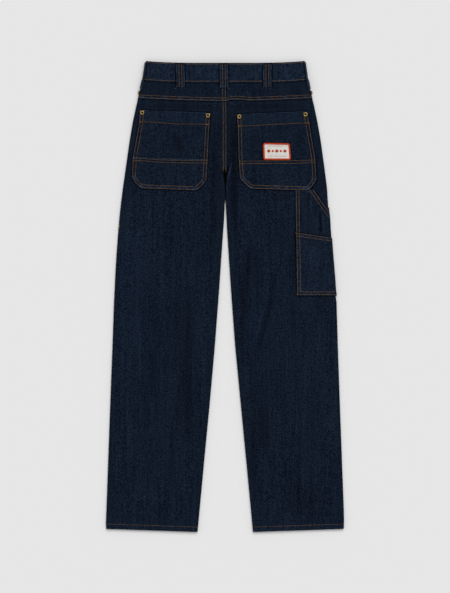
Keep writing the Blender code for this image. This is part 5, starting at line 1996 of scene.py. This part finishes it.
@dataclass
class ToolPockets:
    """The tool pocket on the right leg, and the shorter rule pocket on it, carried round the side fold."""

    left: float = 160.8
    left_low: float = 163.8
    top: float = 293.6
    mouth_in: float = 202.9
    mouth_drop: float = 335.0
    bottom: float = 537.0
    rule_left: float = 391.5
    rule_right: float = 404.0
    rule_width: float = 75.0
    rows: Point = (2.2, 8.6)
    rope: Point = (5.3, 1.5)
    creases: tuple[Crease, ...] = ridges(
        (4.2, -1, 217.5, 342, 219, 372, 218, 402), (5, 0.4, 224.5, 346, 225.5, 400),
        (4, 0.45, 210.5, 350, 210, 398), (3, -0.6, 206.5, 328, 207.5, 364),
        (3.4, -0.5, 191.5, 300, 190.5, 334), (4.5, 0.4, 197.5, 302, 199, 352),
        (3.2, -0.5, 174, 346, 175, 380), (6, 0.35, 184, 330, 182, 386), (12, 0.35, 197, 416, 205, 470),
        (5, -0.4, 222, 414, 218, 440), (9, -0.3, 181, 470, 187, 524),
    )

    def mouth_end(self) -> float:
        """x where the tool pocket's slanted mouth meets the side fold."""
        return float(JEANS.side_x(1, self.mouth_drop)) - FOLD_RADIUS - 0.5

    def tool_mouth(self, x: Number) -> Array:
        """The drop of the tool pocket's edge: level under the back pocket, then slanting to the side."""
        share = np.clip((x - self.mouth_in) / (self.mouth_end() - self.mouth_in), 0.0, 1.0)
        return mix(self.top, self.mouth_drop, share)

    def rule_mouth(self, x: Number) -> Array:
        """The drop of the rule pocket's top edge."""
        return mix(self.rule_left, self.rule_right, np.minimum(1.0, (x - self.left) / self.rule_width))

    def left_edge(self, drop: Number) -> Array:
        """x of the pockets' left edge."""
        return mix(self.left, self.left_low, smooth(self.top, self.bottom, drop))

    def outline(self) -> list[Point]:
        """The pockets' outline on the back, closed a little beyond the side fold.

        Returns:
            Its (x, drop) corners.
        """
        inner = [(self.left, self.top), (self.left, self.rule_left), (self.left_low, self.bottom)]
        outer = [(262.0, self.bottom), (262.0, self.mouth_drop), (self.mouth_end() + 0.5, self.mouth_drop)]
        return [*inner, *outer, (self.mouth_in, self.top)]

    def own_height(self, x: Array, drop: Array) -> Array:
        """The height of the layer under the pockets, with the pockets' own creases."""
        return JEANS.back_height(x, drop) + creased(self.creases, x, drop)

    def grid(self, mouth: Along, lift: float, rows: int, rule: bool) -> Cloth:
        """The grid of one pocket.

        Args:
            mouth: The drop of its top edge at x.
            lift: How far its outer face lies above the panel.
            rows: The number of rows.
            rule: Whether it is the rule pocket, which lies on the other one.

        Returns:
            The grid.
        """
        ends = np.array([0.0, 0.5, 1.2, 2.2]) / (self.bottom - float(mouth(240.0)))
        share = np.unique(np.concatenate([np.linspace(0.0, 1.0, rows), ends, 1.0 - ends])).reshape(-1, 1)
        outer = np.full_like(share, 240.0)
        for _ in range(4):
            outer_drop = mix(mouth(outer), self.bottom, share)
            outer = JEANS.side_x(1, outer_drop)
        left = self.left_edge(mix(mouth(np.full_like(share, self.left)), self.bottom, share))
        start, turn = outer - FOLD_RADIUS, FOLD_STEPS[None, :]
        seam = JEANS.seam_height(1, outer_drop) + 0.5 * SEAM_GAP
        bent = folded(self.own_height(start, outer_drop), seam, turn, 1)
        places = rounded_steps(0.035, (0.004, 0.01, 0.02, 0.03))[1:].reshape(1, -1)
        x_mid = mix(start, left, places)
        d_mid = mix(mouth(x_mid), self.bottom, share)
        x_out = outer - FOLD_RADIUS * (1.0 - np.cos(turn))
        middle = (x_mid, d_mid, self.own_height(x_mid, d_mid), np.zeros_like(x_mid), np.ones_like(x_mid))
        parts = zip((x_out, outer_drop + 0.0 * x_out, *bent), middle)
        cloth = Cloth(*(np.concatenate(pair, axis=1) for pair in parts))
        x, drop, nz = cloth.x, cloth.drop, cloth.nz
        to_top = drop - mouth(x)
        to_edge = np.minimum(np.minimum(x - left, to_top), self.bottom - drop)
        roped = fade(8.5, 11.5, to_edge)
        rope = roping(x + drop, *self.rope, (x - drop) / 15.0)
        wear, dark = edge_marks(to_edge, 0.36, 0.7)
        middle = between_rows(to_edge, self.rows)
        cloth.wear = wear + 0.60 * ripples(rope, middle) + 0.01 + 0.05 * rule
        # Painted shade at the edges, round the side fold and between the rows, with crease troughs painted
        # darker and ridges lighter; painted shade below the rule pocket's mouth, and painted contact shadow
        # on the tool pocket above it.
        cloth.shade = dark - 0.85 * creased(self.creases, x, drop) + 0.6 * (1.0 - nz) + 0.18 * middle
        if rule:
            cloth.shade = cloth.shade + 0.25 * bell(to_top, 12.5, 2.5) * (x < 215.0)
        else:
            cloth.near = self.rule_mouth(x) - drop
        cloth.pucker = roped
        wave = 0.16 * rope * roped * smooth(0.5, 2.5, to_edge)
        return cloth.raised(lift - 0.5 * fade(0.0, 1.2, to_edge) + wave)

    def build(self, finishes: Wardrobe) -> Made:
        """Makes both pockets.

        Args:
            finishes: The materials.

        Returns:
            The pieces and grids by node.
        """
        tool = self.grid(self.tool_mouth, SEAM_GAP + PLY, 80, False)
        rule = self.grid(self.rule_mouth, 2.0 * (SEAM_GAP + PLY), 50, True)
        made = tailored("tool_pocket", "tool_pocket_cloth", tool, finishes.denim, PLY - 0.2)
        return made | tailored("rule_pocket", "rule_pocket_cloth", rule, finishes.denim, PLY - 0.2)

    def lift(self, x: Array, drop: Array) -> Array:
        """How far the pockets' outer face lies above the panel."""
        doubled = smooth(0.0, 1.0, drop - self.rule_mouth(x))
        return (SEAM_GAP + PLY) * (1.0 + doubled) + creased(self.creases, x, drop)

    def stitches(self, sewing: Sewing) -> None:
        """Two rows down the left side, along both mouths and along the bottom.

        Args:
            sewing: Where the stitches are kept.
        """
        face = JEANS.on_back(self.lift)
        edge, far = (float(JEANS.side_x(1, drop)) for drop in (500.0, self.mouth_drop))
        slope = (self.mouth_drop - self.top) / (self.mouth_end() - self.mouth_in)
        for distance in self.rows:
            low = self.bottom - distance
            drops = np.linspace(self.top + 0.4, low, 12)
            sewing.run(face, [(float(self.left_edge(d)) + distance, float(d)) for d in drops])
            sewing.run(face, [(self.left + distance, low), (edge + 5.0, low)])
            across = distance * math.hypot(1.0, slope) / slope
            x, drop = self.mouth_in - across + 1.5 / slope, self.top + 1.5
            sewing.run(face, [(x, drop), (far + 0.4, drop + (far + 0.4 - x) * slope)])
            rule_end = float(self.rule_mouth(247.0)) + distance
            sewing.run(face, [(self.left + 1.0, self.rule_left + distance), (247.0, rule_end)])
        first, last = (self.left + 0.6, self.rule_left + 2.2), (self.left + 5.5, self.rule_left + 2.6)
        sewing.tack(face, first, last, 1.0)


TOOLS = ToolPockets()


@dataclass
class Patch:
    """The small cloth patch: a woven ground, an overlocked edge, and a pattern of lines and lozenges."""

    left: float = 87.0
    right: float = 150.0
    top: float = 186.5
    height: float = 39.5
    corner: float = 5.0
    border: float = 3.6
    border_pitch: float = 1.02
    line_in: Point = (9.0, 8.2)
    lozenges: int = 5
    lozenge_in: float = 13.0
    half_widths: Point = (4.6, 3.2)
    area_share: float = 0.985
    rings: tuple[float, ...] = (1.0, 0.985, 0.95, 0.88, 0.78, 0.66, 0.52, 0.38, 0.24, 0.1)

    def corners(self) -> list[Point]:
        """The patch's corners."""
        left, right, top, low = self.left, self.right - 0.6, self.top, self.top + self.height
        return [(left, top + 1.3), (left + 0.9, low), (right + 1.0, low + 0.6), (right, top + 2.4)]

    def seat(self, x: Number, drop: Number) -> Array:
        """The height of the patch's top face."""
        under = JEANS.back_height(x, drop) + SEAM_GAP + PLY + POCKETS.extra(POCKETS.shapes[1], x, drop)
        return np.maximum(under, JEANS.plain_back(x, drop) + SEAM_GAP + PLY) + SEAM_GAP + 0.5

    def outline(self, count: int) -> Array:
        """Points round the edge, evenly apart.

        Args:
            count: The number of points.

        Returns:
            (x, drop) rows.
        """
        r, low = self.corner, self.top + self.height
        left, right = self.left + r, self.right - r
        centres = (
            (left, self.top + 1.3 + r, 180.0), (right - 1.6, self.top + 2.4 + r, 270.0),
            (right + 0.4, low + 0.6 - r, 0.0), (left + 0.9, low + 0.4 - r, 90.0),
        )
        points = []
        for cx, cy, start in centres:
            turns = np.radians(start + np.linspace(0.0, 90.0, 13))
            points += [(cx + r * math.cos(turn), cy + r * math.sin(turn)) for turn in turns]
        ring = np.array([*points, points[0]])
        run = np.concatenate([[0.0], np.cumsum(np.hypot(*np.diff(ring, axis=0).T))])
        where = np.linspace(0.0, run[-1], count, endpoint=False)
        return np.stack([np.interp(where, run, ring[:, k]) for k in range(2)], axis=-1)

    def ground(self, finishes: Wardrobe) -> Piece:
        """The woven ground as a closed thin disc of rings from the edge to the middle.

        Args:
            finishes: The materials.

        Returns:
            The object.
        """
        ring = self.outline(128)
        shares = np.array(self.rings)
        centre = ring.mean(axis=0)
        x, drop = np.moveaxis(centre + (ring[None] - centre) * shares[:, None, None], -1, 0)
        z = self.seat(x, drop)
        top = world(x, drop, z + 0.12 * (1.0 - shares[:, None] ** 6)).reshape(-1, 3)
        points = np.concatenate([top, world(x, drop, z - 0.45).reshape(-1, 3)])
        index = np.arange(z.size).reshape(z.shape)
        after = np.roll(index, -1, axis=1)
        quads = np.stack([index[:-1], after[:-1], after[1:], index[1:]], axis=-1).reshape(-1, 4)
        rim = np.stack([after[0], index[0], index[0] + z.size, after[0] + z.size], axis=-1)
        faces = [*quads, *(quads[:, ::-1] + z.size), *rim, index[-1], index[-1][::-1] + z.size]
        turned = [face[::-1] for face in faces]
        piece = make_object("patch_ground", points, turned, [finishes.ground], Slot.PATCH)
        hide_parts("patch")
        return piece

    def edging(self, finishes: Wardrobe) -> Piece:
        """The overlocked border: close slanted stitches wrapped over the edge.

        Args:
            finishes: The materials.

        Returns:
            The object.
        """
        sewing = Sewing("patch_border", finishes.red, radius=0.62)
        ring = self.outline(int(2.0 * (self.right - self.left + self.height) / self.border_pitch))
        ahead = np.roll(ring, -1, axis=0) - np.roll(ring, 1, axis=0)
        ahead /= np.linalg.norm(ahead, axis=1, keepdims=True)
        inward = np.stack([-ahead[:, 1], ahead[:, 0]], axis=-1)
        first, last = ring - inward * 0.5, ring + inward * self.border + ahead * 0.7
        starts = np.column_stack([first, self.seat(*first.T) - 0.1])
        ends = np.column_stack([last, self.seat(*last.T) + 0.25])
        sewing.put(starts, ends, np.tile([0.0, 0.0, 1.0], (len(ring), 1)))
        return sewing.make(Slot.PATCH, 11)

    def pattern(self, finishes: Wardrobe) -> Piece:
        """Two thin sewn lines and a row of small satin-stitched lozenges between them.

        Args:
            finishes: The materials.

        Returns:
            The object.
        """
        sewing = Sewing("patch_pattern", finishes.red, radius=0.34, pitch=1.5, stitch=1.35)
        face = flat_face(lambda x, drop: self.seat(x, drop) + 0.2)
        along, down = self.line_in
        for drop in (self.top + down, self.top + self.height - down):
            sewing.run(face, [(self.left + along, drop), (self.right - along, drop + 0.3)])
        first, last = self.left + self.lozenge_in, self.right - self.lozenge_in
        middle = self.top + 0.5 * self.height
        for k in range(self.lozenges):
            half = self.half_widths[k % 2]
            for offset in np.arange(-half + 0.4, half, 0.62):
                centre = mix(first, last, k / (self.lozenges - 1)) + offset
                sewing.bar(face, np.array([centre, middle]), np.array([0.0, 1.1 * (half - abs(offset))]))
        return sewing.make(Slot.PATCH, 12)

    def build(self, finishes: Wardrobe) -> None:
        """Makes the patch in place of its solid.

        Args:
            finishes: The materials.
        """
        ground = self.ground(finishes)
        others = [self.edging(finishes), self.pattern(finishes)]


PATCH = Patch()


def turned_mesh(
    name: str, profile: Sequence[tuple[float, float, int]], place: Matrix, finishes: Sequence[Finish],
    steps: int = 40, wobble: float = 0.0,
) -> Piece:
    """A round brass piece.

    Args:
        name: The piece's name.
        profile: Rows of radius, height and the number of the finish above it, closed on the axis.
        place: Its place in the frame, in metres.
        finishes: Its materials.
        steps: The number of steps round it.
        wobble: Hammered unevenness of the radius, in millimetres.

    Returns:
        The object.
    """
    points, faces, finish_of, rings = [], [], [], []
    for radius, height, _ in profile:
        angles = [math.tau * step / steps for step in range(steps if radius > 0.0 else 1)]
        rings.append(range(len(points), len(points) + len(angles)))
        for angle in angles:
            hammered = wobble * math.sin(3.0 * angle + height) * math.cos(2.0 * angle)
            r = radius + hammered if radius > 0.0 else 0.0
            points.append(tuple(place @ (Vector((r * math.cos(angle), r * math.sin(angle), height)) * MM)))
    for (low, high), (_, _, finish) in zip(zip(rings, rings[1:]), profile):
        for step in range(steps):
            near = (low[step % len(low)], low[(step + 1) % steps % len(low)])
            far = (high[(step + 1) % steps % len(high)], high[step % len(high)])
            faces.append(list(dict.fromkeys(near + far)))
            finish_of.append(finish)
    return make_object(name, np.array(points), faces, finishes, Slot.BRASS, finish_of=finish_of, sharp=45.0)


def standing(x: float, drop: float, z: float, axis: Vector = Vector((0.0, 0.0, 1.0))) -> Matrix:
    """A place in the frame with its own Z along an axis."""
    turn = Vector((0.0, 0.0, 1.0)).rotation_difference(axis).to_matrix().to_4x4()
    return Matrix.Translation(Vector(world(x, drop, z).tolist())) @ turn


@dataclass
class Rivets:
    """Four rivets on the back pockets' corners, and two at the front pockets' outer ends."""

    radius: float = 4.9
    height: float = 1.5
    reach: float = 4.6
    places: tuple[tuple[str, float, float], ...] = (
        ("rivet_left_outer", -189.4, 118.5), ("rivet_left_inner", -39.0, 125.0),
        ("rivet_right_inner", 32.6, 127.5), ("rivet_right_outer", 184.0, 122.5),
    )
    side_drop: float = 72.5
    side_angle: float = 38.0

    def profile(self) -> list[tuple[float, float, int]]:
        """A rolled ring round a sunk middle with a small pin head.

        Returns:
            Rows of radius, height and the number of the finish above it.
        """
        r, h = self.radius, self.height
        return [
            (0.0, 0.0, 0), (r - 0.5, 0.0, 0), (r - 0.1, 0.12, 0), (r, 0.38, 0), (r - 0.12, 0.72, 0),
            (r - 0.42, 1.08, 0), (r - 0.85, h - 0.1, 0), (r - 1.3, h, 0), (r - 1.8, h - 0.05, 0),
            (r - 2.2, h - 0.2, 1), (r - 2.5, h - 0.55, 1), (r - 2.65, h - 0.95, 1), (1.1, 0.45, 1),
            (0.95, 0.55, 1), (0.75, 0.82, 1), (0.45, 0.92, 1), (0.0, 0.95, 1),
        ]

    def place_on_pocket(self, x: float, drop: float) -> Matrix:
        """Where a pocket rivet stands: on the highest of the cloth under it."""
        steps = (-self.reach, 0.0, self.reach)
        top = float(max(JEANS.plain_back(x + dx, drop + dy) for dx in steps for dy in steps))
        return standing(x, drop, top + 2 * SEAM_GAP + PLY + POCKETS.hem_extra - 0.15)

    def place_on_side(self, side: int) -> Matrix:
        """Where a side rivet stands: on the lower half of the side fold, pointing out and down.

        Args:
            side: -1 for the left one and 1 for the right one.

        Returns:
            Its place.
        """
        drop, angle = self.side_drop, math.radians(self.side_angle)
        before, here, after = (abs(float(JEANS.side_x(side, drop + step))) for step in (-5.0, 0.0, 5.0))
        bottom = float(JEANS.plain_front(side * here, drop))
        half = float(JEANS.seam_height(side, drop)) - bottom
        x = side * (here + YOKE_LIFT - FOLD_RADIUS + FOLD_RADIUS * math.cos(angle))
        z = bottom + half - half * math.sin(angle)
        run, fall = half * math.cos(angle), FOLD_RADIUS * math.sin(angle)
        axis = Vector((side * run, run * (after - before) / 10.0, -fall)).normalized()
        away = SEAM_GAP + 0.2
        return standing(x + axis.x * away, drop - axis.y * away, z + axis.z * away, axis)

    def build(self, finishes: Wardrobe) -> dict[str, Piece]:
        """Makes the six rivets in place of their solids.

        Args:
            finishes: The materials.

        Returns:
            The rivets by node.
        """
        made = {}
        spots = [(name, self.place_on_pocket(x, drop)) for name, x, drop in self.places]
        spots += [(f"rivet_front_{word}", self.place_on_side(side)) for word, side in SIDES]
        for name, place in spots:
            metal = [finishes.brass, finishes.recess]
            made[name] = turned_mesh(f"{name}_metal", self.profile(), place, metal, wobble=0.07)
            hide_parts(name)
        return made


RIVETS = Rivets()


@dataclass
class WaistButton:
    """The tack button on the lapped ends of the band, with its plain face on the ground."""

    radius: float = 8.5
    drop: float = 24.0 + 0.5 * BAND_HEIGHT

    def build(self, finishes: Wardrobe) -> Piece:
        """Makes the button in place of its solid.

        Args:
            finishes: The materials.

        Returns:
            The object.
        """
        top, r = FRONT_BAND_FACE - SEAM_GAP, self.radius
        profile = [
            (0.0, 0.30, 0), (2.0, 0.28, 0), (3.0, 0.12, 0), (3.6, 0.0, 0), (4.2, 0.1, 1), (5.0, 0.42, 1),
            (6.0, 0.46, 1), (6.6, 0.2, 0), (7.2, 0.02, 0), (7.8, 0.0, 0), (8.25, 0.16, 0), (r, 0.5, 0),
            (r, 0.9, 0), (8.3, 1.15, 0), (7.4, 1.3, 0), (6.0, 1.55, 0), (5.2, top, 0), (0.0, top, 0),
        ]
        metal = [finishes.brass, finishes.recess]
        piece = turned_mesh("waist_button_metal", profile, standing(0.0, self.drop, 0.0), metal, 56)
        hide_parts("waist_button")
        return piece


Corner = tuple[float, float, float]
Block = tuple[list[Corner], float, bool]


@dataclass
class FlyZip:
    """The closed zip behind the fly: two tapes, two rows of teeth and the slider at the top."""

    centre: float = 0.9
    half_width: float = 14.0
    length: float = 120.0
    start: float = 4.0
    tooth_pitch: float = 2.1
    tooth: tuple[Point, ...] = ((-0.9, 0.0), (2.2, -0.55), (2.9, 0.0), (2.2, 0.55))
    body: tuple[Point, ...] = ((-3.4, 0.0), (-3.9, 4.0), (-2.6, 8.5), (2.6, 8.5), (3.9, 4.0), (3.4, 0.0))
    tab: tuple[Point, ...] = (
        (-1.8, 7.0), (-2.6, 12.0), (-2.6, 22.0), (-1.2, 24.0),
        (1.2, 24.0), (2.6, 22.0), (2.6, 12.0), (1.8, 7.0),
    )

    def top(self) -> float:
        """The drop of the tapes' upper end."""
        return float(PANELS.front_edge(0.0)) + self.start

    def seat(self, x: Number, drop: Number) -> Array:
        """The height of the tapes' lower face."""
        return JEANS.plain_front(x, drop) + PLY + SEAM_GAP

    def tape(self, side: float) -> Cloth:
        """The grid of one tape.

        Args:
            side: -1 for the left one and 1 for the right one.

        Returns:
            The grid.
        """
        shares = [0.03, 0.08, 0.2, 0.24, 0.4, 0.6, 0.8, 0.95, 1.0]
        share, run = np.meshgrid(shares, spaced(self.start, self.length, 3.0))
        x, drop = self.centre + side * share * self.half_width, self.top() - self.start + run
        return Cloth.level(x, drop, self.seat(x, drop) + 0.75 + 0.35 * bell(share, 0.12, 0.07))

    def build(self, finishes: Wardrobe) -> None:
        """Makes the tapes in place of the solid, and the teeth and slider on them.

        Args:
            finishes: The materials.
        """
        tapes = []
        for word, side in SIDES:
            cloth = self.tape(side)
            piece = cloth.sew(f"zip_tape_{word}", finishes.tape, 0.7)
            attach(piece, "root")
            tapes.append((piece, cloth))
        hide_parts("fly_zip")
        carried = [self.teeth(finishes), self.slider(finishes)]
        for (piece, cloth), on_it in zip(tapes, (carried, [])):
            declare(piece, cloth, on_it)

    def blocks(self, name: str, blocks: Sequence[Block], finish: Finish) -> Piece:
        """A mesh of flat blocks.

        Args:
            name: The piece's name.
            blocks: For each its lower corners, its thickness, and whether they run the other way.
            finish: Its material.

        Returns:
            The object.
        """
        points, faces = [], []
        for ring, thick, flipped in blocks:
            size = len(ring)
            low = [len(points) + c for c in range(size)]
            high = [corner + size for corner in low]
            points += ring + [(x, drop, z + thick) for x, drop, z in ring]
            block = [low[::-1], high]
            block += [[low[c], low[(c + 1) % size], high[(c + 1) % size], high[c]] for c in range(size)]
            faces += [face[::-1] for face in block] if flipped else block
        return make_object(name, world(*np.array(points).T), faces, [finish], Slot.ZIP, sharp=20.0)

    def teeth(self, finishes: Wardrobe) -> Piece:
        """The meshed teeth, from the two tapes by turns.

        Args:
            finishes: The materials.

        Returns:
            The object.
        """
        blocks = []
        for k in range(int((self.length - 12.0) / (0.5 * self.tooth_pitch))):
            side = 1.0 if k % 2 == 0 else -1.0
            drop = self.top() + 6.0 + 0.5 * self.tooth_pitch * k
            seat = float(self.seat(self.centre, drop)) + 0.55
            ring = [(self.centre + side * (1.9 - reach), drop + half, seat) for reach, half in self.tooth]
            blocks.append((ring, 1.0, side > 0.0))
        return self.blocks("zip_teeth_rows", blocks, finishes.teeth)

    def slider(self, finishes: Wardrobe) -> Piece:
        """The slider with its pull tab lying flat below it.

        Args:
            finishes: The materials.

        Returns:
            The object.
        """
        blocks = []
        for outline, low, thick in ((self.body, 0.35, 1.15), (self.tab, 1.55, 0.45)):
            spots = [(self.centre + x, self.top() + run) for x, run in outline]
            ring = [(x, drop, float(self.seat(self.centre, drop)) + low) for x, drop in spots]
            blocks.append((ring, thick, False))
        return self.blocks("zip_slider", blocks, finishes.teeth)


@dataclass
class Stitching:
    """The topstitching that isn't on one pocket: band, yoke, seat seam, hems, fly and front pockets."""

    thread: Finish
    fray_yarn: Finish
    seat_rows: Point = (-5.2, 1.1)
    hem_up: float = 11.2
    fly_widths: Point = (34.0, 40.0)
    fly_run: float = 96.0
    side_tack: Point = (376.0, 385.0)

    def rows(self, name: str, **sizes: float) -> Sewing:
        """An empty set of rows in the usual thread."""
        return Sewing(name, self.thread, **sizes)

    def band(self) -> Piece:
        """Rows along the band's top and lower edges, all round.

        Returns:
            The object.
        """
        sewing = self.rows("stitches_waistband")
        for level in (BAND.top_stitch, BAND.low_stitch):
            for run in BandRow:
                sewing.lay(*BAND.stitches(level, run))
        return sewing.make()

    def yokes(self) -> Piece:
        """Two rows along the yoke's lower edge, and two down its middle seam.

        Returns:
            The object.
        """
        sewing = self.rows("stitches_yoke")
        over = JEANS.on_back(lambda x, drop: YOKE_LIFT + FELL_RISE * smooth(*FELL_EDGE, x) * (x < 3.7))
        xs = np.linspace(-204.0, 204.0, 120).tolist()
        for up in YOKES.stitch_up:
            sewing.run(over, [(x, float(YOKES.edge(x)) - up) for x in xs])
        for x in self.seat_rows:
            start = float(JEANS.back_waist(x)) + BAND_HEIGHT + 3.0
            sewing.run(over, [(x - 0.4, start), (x, float(YOKES.edge(x)) - 1.0)])
        return sewing.make(seed=5)

    def seat(self) -> Piece:
        """Two rows down the felled middle seam of the seat.

        Returns:
            The object.
        """
        sewing = self.rows("stitches_seat_seam")
        over = JEANS.on_back(lambda x, drop: FELL_RISE * PANELS.seam_share(drop) * (x < 3.7))
        for x, end in zip(self.seat_rows, (253.0, 255.0)):
            drops = np.linspace(94.0, end, 8)
            line = [(x + 0.4 + 0.7 * float(smooth(90.0, 110.0, drop)), float(drop)) for drop in drops]
            sewing.run(over, line)
        return sewing.make(seed=6)

    def hems(self) -> Piece:
        """One row round each leg's hem, on the back and the front.

        Returns:
            The object.
        """
        sewing = self.rows("stitches_hems", pitch=3.5, stitch=2.9)
        for _, side in SIDES:
            inner = float(JEANS.inner_x(side, LENGTH - self.hem_up)) + side * 2.0
            outer = float(JEANS.side_x(side, LENGTH - self.hem_up - 6.0))
            xs = np.linspace(inner, outer, 40).tolist()
            line = [(x, float(JEANS.hem_edge(x)) - self.hem_up) for x in xs]
            sewing.run(JEANS.on_back(0.0), line)
            flat = [spot for spot in line if abs(spot[0]) < abs(outer) - FOLD_RADIUS]
            sewing.run(JEANS.on_front(-0.1), flat)
        return sewing.make(seed=7)

    def front(self) -> Piece:
        """The fly, the front seam and the pocket mouths, on the hidden side.

        Returns:
            The object.
        """
        sewing, under = self.rows("stitches_front"), JEANS.on_front(-0.1)
        top = float(PANELS.front_edge(0.0)) + 1.0
        low = top + self.fly_run
        for width in self.fly_widths:
            turns = np.radians(np.linspace(10.0, 84.0, 8)).tolist()
            bend = [
                (-width + (width + 1.5) * (1.0 - math.cos(turn)), low + (width + 4.0) * math.sin(turn))
                for turn in turns
            ]
            sewing.run(under, [(-width, top), (-width, low), *bend])
        sewing.run(under, [(-2.6, top), (-2.6, 262.0)])
        sewing.run(under, [(-8.8, top + 140.0), (-8.6, 258.0)])
        sewing.tack(under, (-6.0, top + 138.0), (1.0, top + 138.0))
        for _, side in SIDES:
            for down in (2.4, 8.8):
                xs = np.linspace(PANELS.mouth_start + 3.0, 193.0, 40)
                sewing.run(under, [(side * float(x), float(PANELS.front_edge(x)) + down) for x in xs])
            sewing.tack(under, (side * 96.0, 72.0), (side * 96.0, 80.0))
        return sewing.make(seed=8)

    def side_bar(self) -> Piece:
        """The short tan tack at the left side seam, just below the pocket bag.

        Returns:
            The object.
        """
        sewing, edge = self.rows("side_seam_tack", radius=0.5), float(JEANS.side_x(-1, 380.0))
        first, last = (edge + 0.5, self.side_tack[0]), (edge + 1.2, self.side_tack[1])
        sewing.tack(JEANS.on_back(0.1), first, last, 3.4)
        return sewing.make(seed=9)

    def fray(self) -> Piece:
        """Short loose yarn ends at the loops' cut corners and beside the rivets.

        Returns:
            The object.
        """
        sewing = Sewing("frayed_ends", self.fray_yarn, radius=0.24)
        rng, roots = np.random.default_rng(21), []
        for _, x in LOOPS.back:
            low = float(JEANS.back_waist(x)) + LOOPS.top + LOOPS.length
            height = float(JEANS.plain_back(x, low)) + YOKE_LIFT + 1.0
            corners = ((-9.5, 0.6, -0.6), (9.5, 0.6, 0.6), (-3.0, 0.3, 0.0), (4.0, 0.3, 0.2))
            roots += [(x + across, low - up, height, lean, 1.0) for across, up, lean in corners]
        for side in (-1.0, 1.0):
            roots.append((side * 190.0, 62.0, 4.6, side * 0.8, 0.5))
            roots.append((side * 188.5, 59.0, 5.6, side * 0.5, 0.6))
        for _, x, drop in RIVETS.places:
            height = float(JEANS.plain_back(x, drop)) + PLY + 1.6
            roots += [(x + s * 4.4, drop - 3.6, height, s * 0.8, -0.7) for s in (-1.0, 1.0)]
        for x, drop, z, dx, dy in roots:
            for _ in range(4):
                turn = rng.normal(0.0, 0.5)
                c, s = math.cos(turn), math.sin(turn)
                way = np.array([dx * c - dy * s, dx * s + dy * c])
                reach = rng.uniform(1.2, 3.0)
                at = np.array([x + rng.uniform(-1.2, 1.2), drop, z])
                tip = at + np.array([*(way * reach), rng.uniform(-0.5, 0.3)])
                sewing.put([at], [tip], [(0.0, 0.0, 1.0)])
        return sewing.make(seed=10)


@dataclass
class Studio:
    """The plain floor, the even soft light, and the camera straight above."""

    floor_half: float = 6.0
    floor_gap: float = 0.0006
    floor_tone: Colour = (0.80, 0.80, 0.80)
    sky: float = 0.568
    key: float = 1.643
    key_tilt: Point = (-34.0, 12.0)
    key_spread: float = 46.0
    view_height: float = 1.35797
    sensor: float = 24.0
    distance: float = 6.0
    far_end: float = 50.0

    def floor(self) -> None:
        """A large matt floor just below the cloth."""
        n = Nodes("pale_floor")
        n.set(Base_Color=self.floor_tone, Roughness=0.95, Specular_IOR_Level=0.0)
        corners = [(x * self.floor_half, y * self.floor_half, -self.floor_gap) for x, y in CORNERS]
        mesh = bpy.data.meshes.new("floor")
        mesh.from_pydata(corners, [], [(0, 1, 2, 3)])
        mesh.materials.append(n.material)
        placed("floor", mesh)

    def lights(self) -> None:
        """An even sky and one wide soft sun from beyond the waist."""
        sky = bpy.data.worlds.new("soft_studio")
        sky.use_nodes = True
        background = sky.node_tree.nodes["Background"]
        background.inputs["Color"].default_value = (1.0, 1.0, 1.0, 1.0)
        background.inputs["Strength"].default_value = self.sky
        bpy.context.scene.world = sky
        sun = bpy.data.lights.new("soft_key", "SUN")
        sun.energy, sun.angle = self.key, math.radians(self.key_spread)
        placed("soft_key", sun).rotation_euler = (*map(math.radians, self.key_tilt), 0.0)

    def camera(self) -> None:
        """A long lens that looks straight down on the middle of the garment."""
        data = bpy.data.cameras.new("overhead")
        data.type, data.sensor_fit, data.sensor_height = "PERSP", "VERTICAL", self.sensor
        data.lens, data.clip_end = self.sensor * self.distance / self.view_height, self.far_end
        made = placed("overhead", data)
        made.location = (0.0, 0.0, self.distance)
        bpy.context.scene.camera = made

    def build(self) -> None:
        """Sets the whole studio up."""
        self.floor()
        self.lights()
        self.camera()
        bpy.context.scene.view_settings.view_transform = "Standard"


CORNERS = ((-1.0, -1.0), (1.0, -1.0), (1.0, 1.0), (-1.0, 1.0))


def main() -> None:
    """Builds the studio, the cloth pieces, the metal and the stitching, and logs each cloth piece's cut."""
    logging.basicConfig(level=logging.INFO, format="%(name)s: %(message)s")
    Studio().build()
    finishes = Wardrobe()
    cloth: Made = {}
    for maker in (PANELS, YOKES, FrontPockets(), BAND, LOOPS, POCKETS, TOOLS):
        cloth |= maker.build(finishes)
    PATCH.build(finishes)
    rivets = RIVETS.build(finishes)
    button = WaistButton().build(finishes)
    FlyZip().build(finishes)

    sewn = Stitching(finishes.thread, finishes.fray)
    sewing: dict[str, list[Piece]] = {
        "waistband": [sewn.band(), button],
        "yoke_left": [sewn.yokes()],
        "back_left": [sewn.seat(), sewn.side_bar(), sewn.hems()],
        "front_left": [sewn.front(), rivets["rivet_front_left"]],
        "front_right": [rivets["rivet_front_right"]],
    }
    for shape in POCKETS.shapes:
        rows, word = sewn.rows(f"stitches_{shape.node}"), shape.node.rsplit("_", 1)[1]
        POCKETS.stitches(shape, rows)
        corners = [rivets[f"rivet_{word}_{end}"] for end in ("outer", "inner")]
        sewing[shape.node] = [rows.make(seed=14), *corners]
    rows = sewn.rows("stitches_tool_pockets")
    TOOLS.stitches(rows)
    sewing["tool_pocket"] = [rows.make(seed=15)]
    rows = sewn.rows("stitches_belt_loops", radius=0.44)
    LOOPS.stitches(rows)
    sewing["belt_loop_back"] = [rows.make(seed=16), sewn.fray()]
    for node, (piece, grid) in cloth.items():
        declare(piece, grid, sewing.get(node, []))


if __name__ == "__main__":
    main()
